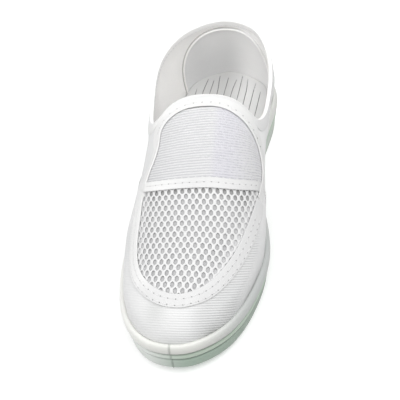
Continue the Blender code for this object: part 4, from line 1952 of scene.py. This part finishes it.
@dataclass
class MeshPanel:
    """The open mesh of the vamp and the cloth behind it."""

    skin: Skin
    front: float = 248.0
    pitch: float = 4.4
    row_pitch: float = 3.63
    per_side: int = 17
    hole_width: float = 2.4
    hole_height: float = 3.9
    hole_corners: float = 0.7
    slant: float = 0.2
    corner_share: float = 0.34
    thread: float = 0.7
    edge_round: float = 0.22
    seam_round: float = 0.06
    margin: float = 1.4
    overlap: float = 2.0
    drop: float = 0.05
    doubles: float = 1.5e-4
    smooth_angle: float = 80.0
    cut: Cut = Cut(0.083, 0.084, 0.0049)
    backing_ends: Span = (150.0, 243.0)
    backing_drop: float = 1.0
    backing_thickness: float = 0.4
    backing_angle: float = 35.0
    backing_columns: int = 60
    backing_cut: Cut = Cut(0.083, 0.1, 0.0062)
    rear_fade: Span = (4.0, 10.0)
    border_fade: Span = (0.8, 0.98)

    def cell(self) -> Array:
        """Rings of one cell from its hole to its border, twelve points each.

        Returns:
            Offsets along and round.
        """
        low = self.row_pitch * self.corner_share
        high = self.row_pitch - low
        side = self.pitch / 2
        corners = np.array(((side, -low), (side, low), (0, high), (-side, low), (-side, -low), (0, -high)))
        middles = (corners + np.roll(corners, -1, axis=0)) / 2
        border = np.stack((corners, middles), axis=1).reshape(-1, 2)
        angle = np.arctan2(border[:, 1] / self.hole_height, border[:, 0] / self.hole_width)
        hole = np.column_stack((np.cos(angle) * self.hole_width / 2, np.sin(angle) * self.hole_height / 2))
        cornered = border * (self.hole_width / self.pitch, self.hole_height / (2 * high))
        hole = hole + (cornered - hole) * self.hole_corners
        rings = np.stack((hole, (hole + border) / 2, border))
        rings[..., 0] += self.slant * rings[..., 1]
        return np.concatenate((rings, rings[:, :1]), axis=1)[..., ::-1]

    def centres(self) -> Array:
        """Centres of the cells that lie inside the opening, in staggered rows of the cloth.

        Returns:
            The centres, along and round.
        """
        made = []
        first = self.skin.seam.along - self.overlap
        for number, row in enumerate(np.arange(first, self.front, self.row_pitch)):
            girth = (np.arange(-self.per_side, self.per_side + 1) + 0.5 * (number % 2)) * self.pitch
            girth = girth + self.slant * (row - first)
            flat = np.column_stack((np.full_like(girth, row), girth))
            along = self.skin.woven(flat[:, 0], flat[:, 1])[:, 0]
            inner, outer = self.skin.sides(along, self.margin)
            made.append(flat[(girth > inner) & (girth < outer)])
        return np.vstack(made)

    def build(self) -> Piece:
        """Models one cell of thread round its hole, and copies it to every place of the mesh.

        Returns:
            The mesh.
        """
        last = self.skin.last
        rings = self.cell()
        cell = Modeller.grid("mesh_cell", np.zeros((*rings.shape[:2], 3)))
        sink = np.array((self.edge_round, 0.0, self.seam_round))[:, None, None]
        shapes = []
        for centre in self.centres():
            flat = rings + centre
            points = self.skin.woven(flat[..., 0], flat[..., 1])
            steps = centre + np.array(((0.0, 0.0), (1.0, 0.0), (0.0, 1.0)))
            ends = self.skin.fabric(steps[:, 0], steps[:, 1])
            normal = unit(np.cross(ends[1] - ends[0], ends[2] - ends[0]))
            shapes.append(last.to_scene(points - sink * normal * np.sign(normal[2])))
        mesh = Modeller.repeat(cell, shapes, "mesh_looks")
        Modeller.weld(mesh, self.doubles)
        Modeller.face(mesh)
        Modeller.apply(mesh, "DISPLACE", strength=-self.drop * MM, mid_level=0.0)
        Modeller.thicken(mesh, self.thread)
        Modeller.smooth(mesh, self.smooth_angle)
        return mesh

    def backing(self) -> Piece:
        """Models the cloth behind the mesh.

        Returns:
            The cloth.
        """
        along = spaced(*self.backing_ends, 1.0)
        inner, outer = self.skin.sides(along, self.margin / 2)
        share = np.linspace(0, 1, self.backing_columns)[None, :]
        girth = inner[:, None] + (outer - inner)[:, None] * share
        points = self.skin.fabric(np.broadcast_to(along[:, None], girth.shape), girth)
        points = points - self.backing_drop * grid_normals(points)
        sheet = Modeller.grid("mesh_backing", self.skin.last.to_scene(points))
        # Masks for the painted light along the sides and the painted shade at the rear.
        border = eased(np.abs(2 * share - 1), *self.border_fade)
        rear = 1 - eased(along - self.skin.seam.along, *self.rear_fade)
        for name, values in (("border", border), ("rear", rear[:, None])):
            Modeller.attribute(sheet, name, np.broadcast_to(values, girth.shape))
        Modeller.face(sheet)
        Modeller.thicken(sheet, self.backing_thickness)
        Modeller.smooth(sheet, self.backing_angle)
        return sheet

    def finish(self, mesh: Piece, backing: Piece) -> None:
        """Dresses mesh and backing.

        Args:
            mesh: The mesh.
            backing: The cloth behind it.
        """
        dress(mesh, [OpenMesh().material()], "mesh_panel")
        dress(backing, [Backing().material()])


@dataclass
class Stitches:
    """Rows of sewing thread with a needle hole after every stitch, gathered into one piece.

    The pitch from stitch to stitch is in millimetres, and hole scales the needle holes.
    """

    last: Last
    name: str
    pitch: float
    hole: float = 1.0
    thread_length: float = 0.36
    thread_width: float = 0.25
    thread_rise: float = 0.17
    hole_size: Position = (0.5, 0.42, 0.2)
    probe: float = 0.3
    smooth_angle: float = 80.0
    rows: List[Tuple[Array, Array]] = field(default_factory=list)

    def sew(self, path: Array, normals: Array) -> None:
        """Adds a row of stitches along a path on a surface."""
        self.rows.append((path, normals))

    @staticmethod
    def bead(name: str) -> Piece:
        """Models one rounded bead of length two.

        Args:
            name: Its name.

        Returns:
            The bead.
        """
        Modeller.clear_selection()
        bpy.ops.mesh.primitive_uv_sphere_add(segments=6, ring_count=4, radius=1)
        return Modeller.added(name)

    def shapes(self, points: Array, shift: float, size: Array) -> List[Array]:
        """Vertices of every copy of a bead.

        Args:
            points: Vertices of the bead.
            shift: How far after the middle of its stitch each copy lies.
            size: Half lengths of a copy along, across and out of the seam.

        Returns:
            Scene positions, an array for each copy.
        """
        made = []
        for path, normals in self.rows:
            run = distances(path)
            count = max(2, round(run[-1] / self.pitch))
            for place in (np.arange(count) + 0.5) / count * run[-1] + shift:
                steps = (0.0, self.probe, -self.probe)
                centre, ahead, behind = (self.read(run, path, place + step) for step in steps)
                normal = unit(self.read(run, normals, place))
                along = unit(ahead - behind)
                frame = np.stack((along, np.cross(normal, along), normal))
                made.append(self.last.to_scene(centre + (points * size) @ frame))
        return made

    def build(self) -> Piece:
        """Copies one bead to every stitch and one to every needle hole.

        Returns:
            The beads, as one piece.
        """
        thread = np.array((self.thread_length * self.pitch, self.thread_width, self.thread_rise))
        hole = np.array(self.hole_size) * self.hole
        pieces = []
        for name, shift, size in (("thread", 0.0, thread), ("needle_hole", self.pitch / 2, hole)):
            bead = self.bead(name)
            Modeller.slots(bead, name)
            pieces.append(Modeller.repeat(bead, self.shapes(Modeller.vertices(bead), shift, size), name))
        made = Modeller.join(pieces, self.name)
        Modeller.weld(made, TINY)
        Modeller.smooth(made, self.smooth_angle)
        return made

    @staticmethod
    def read(run: Array, values: Array, place: float) -> Array:
        """Values along a path at one distance."""
        return np.array([np.interp(place, run, column) for column in values.T])

    def finish(self) -> None:
        """Models and dresses the stitching."""
        # Needle holes are dark beads of painted shade.
        hole = Thread("needle_hole", (0.42, 0.42, 0.42), (0.36, 0.36, 0.36))
        dress(self.build(), [Thread().material(), hole.material()])


@dataclass
class Bands:
    """Tape over the seam of gore and mesh, and the bands round the opening."""

    skin: Skin
    lift: float = 0.25
    thickness: float = 0.85
    columns: int = 14
    row_step: float = 0.05
    throat_ends: Span = (-4.2, 4.2)
    window_ends: Span = (4.23, 15.77)
    end_fade: float = 0.6
    end_sink: float = 0.8
    fade: Span = (1.5, 3.0)
    fade_sink: float = 1.25
    fade_fullness: float = 0.6
    bevel: Span = (0.3, 50.0)
    tape_width: float = 6.6
    tape_sides: Span = (-36.5, 37.6)
    tape_step: float = 0.6
    tape_lift: float = 0.5
    tape_tuck: float = 3.0
    tape_hem: float = 0.35
    hem_sharpness: int = 6
    tape_shift: float = 0.4
    window_pitch: float = 4.7
    window_rows: Tuple[float, ...] = (0.4, 0.84)
    throat_pitch: float = 5.7
    throat_rows: Tuple[float, ...] = (0.3,)
    throat_sewn: float = 2.4
    tape_pitch: float = 4.6
    tape_rows: Tuple[float, ...] = (0.5,)
    tape_unsewn: int = 6

    def edge_strip(self, ends: Span) -> Array:
        """The band beside the opening's edge.

        Args:
            ends: Its first and last row in the opening's table.

        Returns:
            Points of the band.
        """
        rows = spaced(*ends, self.row_step)
        widths = self.skin.last.opening.at(rows)[:, 2]
        return self.skin.strip(self.skin.edge(rows), widths, self.columns)

    def tape_strip(self) -> Tuple[Array, Array]:
        """The tape over the seam.

        Returns:
            Its points, and how far each sinks where the ends are tucked in.
        """
        across = spaced(*self.tape_sides, self.tape_step)
        along = self.skin.seam.along - self.skin.seam.fall(across)
        shifts = np.linspace(-self.tape_width / 2, self.tape_width / 2, self.columns)
        wide = np.broadcast_to(across[:, None], (len(across), len(shifts)))
        strip = self.skin.drop(np.dstack((along[:, None] + shifts[None, :] + self.tape_shift, wide)))
        inside = np.minimum(across - across[0], across[-1] - across)
        sink = self.fade_sink * (1 - eased(inside, 0.0, self.tape_tuck)) - self.tape_lift
        hem = self.tape_hem * np.linspace(0, 1, self.columns) ** self.hem_sharpness
        return strip, sink[:, None] + hem[None, :]

    def lay(self, name: str, strip: Array, sink: Array) -> Piece:
        """Models a strip of tape on the face.

        Args:
            name: The piece's name.
            strip: Points of the face under the strip.
            sink: How far each point of the strip sinks into the face.

        Returns:
            The piece.
        """
        out = np.broadcast_to(self.lift - sink, strip.shape[:2])
        points = strip + out[..., None] * grid_normals(strip)
        sheet = Modeller.grid(name, self.skin.last.to_scene(points))
        Modeller.face(sheet)
        Modeller.thicken(sheet, self.thickness, offset=1)
        Modeller.round_edges(sheet, *self.bevel)
        Modeller.smooth(sheet)
        return sheet

    def sew(self, name: str, strip: Array, shares: Sequence[float], pitch: float, lift: float = 0.0) -> None:
        """Sews rows along a strip.

        Args:
            name: The name of the stitching.
            strip: Points of the face under the strip.
            shares: Where each row lies, as a share of the strip's width.
            pitch: Length from stitch to stitch.
            lift: How much higher than usual the strip lies.
        """
        normals = grid_normals(strip)
        stitches = Stitches(self.skin.last, name, pitch)
        for share in shares:
            i, t = divmod(share * (strip.shape[1] - 1), 1)
            path = strip[:, int(i)] * (1 - t) + strip[:, int(i) + 1] * t
            normal = normals[:, int(i)]
            stitches.sew(path + normal * (self.lift + self.thickness + lift), normal)
        stitches.finish()

    def build(self) -> None:
        """Models and dresses the bands with their stitching."""
        # The throat band's tape has a lighter painted shade on its outer side.
        tape, throat_tape = Tape().material(), Tape("throat_tape", outer=(0.72, 0.72, 0.715)).material()
        throat, window = self.edge_strip(self.throat_ends), self.edge_strip(self.window_ends)
        front, tuck = self.tape_strip()
        rows = np.abs(np.linspace(*self.throat_ends, len(throat)))
        sink = self.fade_sink * eased(rows, *self.fade)[:, None]
        sink = sink * np.linspace(0, 1, self.columns) ** self.fade_fullness
        ends = np.arange(len(window)) * self.row_step
        ends = self.end_sink * (1 - eased(np.minimum(ends, ends[::-1]), 0.0, self.end_fade))
        for name, strip, deep, material in (
            ("throat_band", throat, sink, throat_tape),
            ("window_band", window, ends[:, None], tape),
            ("gore_front_tape", front, tuck, tape),
        ):
            dress(self.lay(name + "_looks", strip, deep), [material], name)
        flat = round(self.end_fade / self.row_step)
        self.sew("window_stitching", window[flat:-flat], self.window_rows, self.window_pitch)
        self.sew("throat_stitching", throat[rows < self.throat_sewn], self.throat_rows, self.throat_pitch)
        sewn = front[self.tape_unsewn : -self.tape_unsewn]
        self.sew("tape_stitching", sewn, self.tape_rows, self.tape_pitch, self.tape_lift)


@dataclass
class Binding:
    """Binding folded over the whole edge of the foot's opening, round both corners of the throat."""

    skin: Skin
    depth: float = 4.8
    throat_depth: float = 2.4
    inner_depth: float = 4.6
    thickness: float = 0.4
    throat_thickness: float = 1.2
    gap: float = 0.08
    corner_along: float = 18.0
    corner_up: float = 14.0
    corner_depth: float = 4.0
    corner_steps: int = 14
    step: float = 2.0
    place_length: float = 28.0
    level_length: float = 46.0
    leg_steps: int = 7
    crown_steps: int = 9
    crown_rise: float = 0.8
    crown_probe: float = 0.5
    edge_share: float = 0.45
    edge_reach: float = 0.3
    smooth_angle: float = 45.0
    stitch_end: float = 0.3
    stitch_step: float = 0.04
    stitch_depth: float = 0.75
    stitch_pitch: float = 3.2
    stitch_hole: float = 0.4

    def __post_init__(self) -> None:
        """Lays the path of the edge: collar, rounded corner and throat, then the same on the inner side."""
        place_turn, level_turn = self.corner_along / self.place_length, self.corner_up / self.level_length
        notch = OUTER_NOTCH + self.skin.throat_step
        collar = spaced(0, notch - place_turn, self.step / self.place_length)
        angle = np.linspace(0, math.pi / 2, self.corner_steps)[1:-1]
        throat = spaced(SHOULDER + level_turn, CREST_LEVEL, self.step / self.level_length)
        corner_level = SHOULDER + level_turn * (1 - np.cos(angle))
        ahead = self.skin.throat_shift(corner_level) - self.skin.throat_step
        corner_place = notch - place_turn * (1 - np.sin(angle)) + ahead * np.sin(angle)
        places = (collar, corner_place, OUTER_NOTCH + self.skin.throat_shift(throat))
        levels = (np.full_like(collar, SHOULDER), corner_level, throat)
        turns = (np.zeros_like(collar), angle, np.full_like(throat, math.pi / 2))
        half = np.stack([np.concatenate(parts) for parts in (places, levels, turns)])
        self.place, self.level, self.turn = np.concatenate((half, half[:, -2:0:-1]), axis=1)
        self.mirrored = np.arange(len(self.place)) >= half.shape[1]
        self.far = self.gap + self.thickness
        self.far = self.far + (self.throat_thickness - self.thickness) * eased(self.turn, 0.0, math.pi / 2)

    def leg(self, away: Number, out: Number) -> Array:
        """Points of the wall's faces beside the edge.

        Args:
            away: Distance from the edge over the face.
            out: Distance outwards from the face.

        Returns:
            A point for each point of the path.
        """
        place = self.place + away * np.sin(self.turn) / self.place_length
        level = self.level - away * np.cos(self.turn) / self.level_length
        place = np.where(self.mirrored, AROUND - place, place) % AROUND
        return self.skin.lay(place, level, out)

    def build(self) -> Piece:
        """Models the binding as a closed tube along the edge.

        Returns:
            The binding.
        """
        wall = self.skin.last.wall
        share = np.linspace(1, 0, self.leg_steps)
        full = self.edge_share + (1 - self.edge_share) * eased(1 - share, 0.0, self.edge_reach)
        cover = self.corner_depth * np.sin(2 * self.turn)
        depth = self.depth + (self.throat_depth - self.depth) * eased(self.turn, 0.0, math.pi / 2) + cover
        lining_depth = self.inner_depth + cover
        outer = [self.leg(s * depth, self.gap + (self.far - self.gap) * f) for s, f in zip(share, full)]
        lined = self.gap + self.thickness
        inner = [self.leg(s * lining_depth, -wall - lined * f) for s, f in zip(share, full)][::-1]
        rise = unit(self.leg(0.0, 0.0) - self.leg(self.crown_probe, 0.0))
        middle, half = (outer[-1] + inner[0]) / 2, (outer[-1] - inner[0]) / 2
        height = rise * np.linalg.norm(half, axis=1, keepdims=True) * self.crown_rise
        angles = np.linspace(0, math.pi, self.crown_steps)[1:-1]
        crown = [middle + half * math.cos(angle) + height * math.sin(angle) for angle in angles]
        inside = [self.leg(s * lining_depth, -wall - self.gap / 2) for s in share]
        outside = [self.leg(s * depth, self.gap / 2) for s in share[::-1]]
        loop = outer + crown + inner + inside + outside
        points = np.stack(loop + loop[:1], axis=1)
        points = np.concatenate((points, points[:1]))
        binding = Modeller.grid("collar_binding_looks", self.skin.last.to_scene(points))
        # The fold and the inner leg carry the tape's painted highlight.
        folded = np.zeros(len(loop) + 1)
        folded[len(outer) : len(outer) + len(crown) + len(inner)] = 1.0
        Modeller.attribute(binding, "crown", np.broadcast_to(folded, points.shape[:2]))
        Modeller.weld(binding)
        Modeller.smooth(binding, self.smooth_angle)
        return binding

    def finish(self, binding: Piece) -> None:
        """Dresses the binding and sews it down round the collar.

        Args:
            binding: The binding.
        """
        last = self.skin.last
        dress(binding, [Tape("binding_tape").material()], "collar_binding")
        ends = (INNER_NOTCH + self.stitch_end, AROUND + OUTER_NOTCH - self.stitch_end)
        place = spaced(*ends, self.stitch_step)
        level = np.full_like(place, SHOULDER - self.stitch_depth * self.depth / self.level_length)
        stitches = Stitches(last, "collar_stitching", self.stitch_pitch, self.stitch_hole)
        thick = self.gap + self.thickness
        for out, turn in ((thick, 1), (-last.wall - thick, -1)):
            stitches.sew(self.skin.lay(place, level, out), turn * last.normal(place, level))
        stitches.finish()


@dataclass
class VampSeams:
    """Stitching along the rear edges of the vamp, where it overlaps the quarters."""

    skin: Skin
    insets: Tuple[float, ...] = (0.07, 0.16)
    levels: Span = (0.1, 1.14)
    pitch: float = 2.9
    hole: float = 0.8
    step: float = 0.02
    lift: float = 0.05

    def build(self) -> None:
        """Sews two rows on each side of the shoe."""
        stitches = Stitches(self.skin.last, "vamp_seam_stitching", self.pitch, self.hole)
        level = spaced(*self.levels, self.step)
        for inset in self.insets:
            for place in (self.skin.vamp_place + inset, AROUND - self.skin.vamp_place - inset):
                row = np.full_like(level, place)
                stitches.sew(self.skin.lay(row, level, self.lift), self.skin.last.normal(row, level))
        stitches.finish()


@dataclass
class Studio:
    """Floor, soft light, and a camera at the photograph's angle to the shoe."""

    azimuth: float = 11.7
    elevation: float = 43.9
    roll: float = -7.4
    distance: float = 0.7
    aim: Position = (-0.0013, -0.0125, 0.0313)
    lens: float = 96.0
    sky: float = 0.5
    floor_size: float = 8.0

    def camera(self) -> None:
        """Adds the camera."""
        azimuth, elevation = math.radians(self.azimuth), math.radians(self.elevation)
        flat = math.cos(elevation)
        back = Vector((math.sin(azimuth) * flat, -math.cos(azimuth) * flat, math.sin(elevation)))
        turn = (-back).to_track_quat("-Z", "Y").to_matrix().to_4x4()
        turn = turn @ Matrix.Rotation(math.radians(self.roll), 4, "Z")
        data = bpy.data.cameras.new("camera")
        data.lens = self.lens
        camera = bpy.data.objects.new("camera", data)
        camera.matrix_world = Matrix.Translation(Vector(self.aim) + back * self.distance) @ turn
        bpy.context.scene.collection.objects.link(camera)
        bpy.context.scene.camera = camera

    @staticmethod
    def light(lamp: Lamp) -> None:
        """Adds a lamp that faces its aim.

        Args:
            lamp: The lamp.
        """
        data = bpy.data.lights.new(lamp.name, lamp.kind.value)
        for key, value in lamp.settings.items():
            setattr(data, key, value)
        data.energy = lamp.power
        made = bpy.data.objects.new(lamp.name, data)
        made.location = lamp.place
        made.rotation_euler = (Vector(lamp.aim) - Vector(lamp.place)).to_track_quat("-Z", "Y").to_euler()
        bpy.context.scene.collection.objects.link(made)

    def build(self) -> None:
        """Sets the stage."""
        scene = bpy.context.scene
        scene.view_settings.view_transform = "Standard"
        Modeller.clear_selection()
        bpy.ops.mesh.primitive_plane_add(size=self.floor_size)
        floor = Modeller.added("floor")
        floor.data.materials.append(PaleFloor().material())
        floor.visible_diffuse = False
        world = bpy.data.worlds.new("studio")
        world.use_nodes = True
        background = world.node_tree.nodes["Background"]
        background.inputs["Color"].default_value = (1.0, 1.0, 1.0, 1.0)
        background.inputs["Strength"].default_value = self.sky
        scene.world = world
        for lamp in LAMPS:
            self.light(lamp)
        self.camera()


def main() -> None:
    """Builds the shoe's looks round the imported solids."""
    logging.basicConfig(level=logging.INFO, format="%(name)s %(message)s")
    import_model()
    last = Last()
    skin = Skin(last)
    sole = Sole(last)
    sole.finish(sole.build())
    insole = Insole(last)
    insole.finish(insole.build())
    upper = Upper(skin)
    upper.finish(upper.build(), upper.counter(), upper.edging())
    gore = Gore(skin)
    gore.finish(gore.build())
    mesh = MeshPanel(skin)
    mesh.finish(mesh.build(), mesh.backing())
    Bands(skin).build()
    binding = Binding(skin)
    binding.finish(binding.build())
    VampSeams(skin).build()
    Studio().build()


if __name__ == "__main__":
    main()
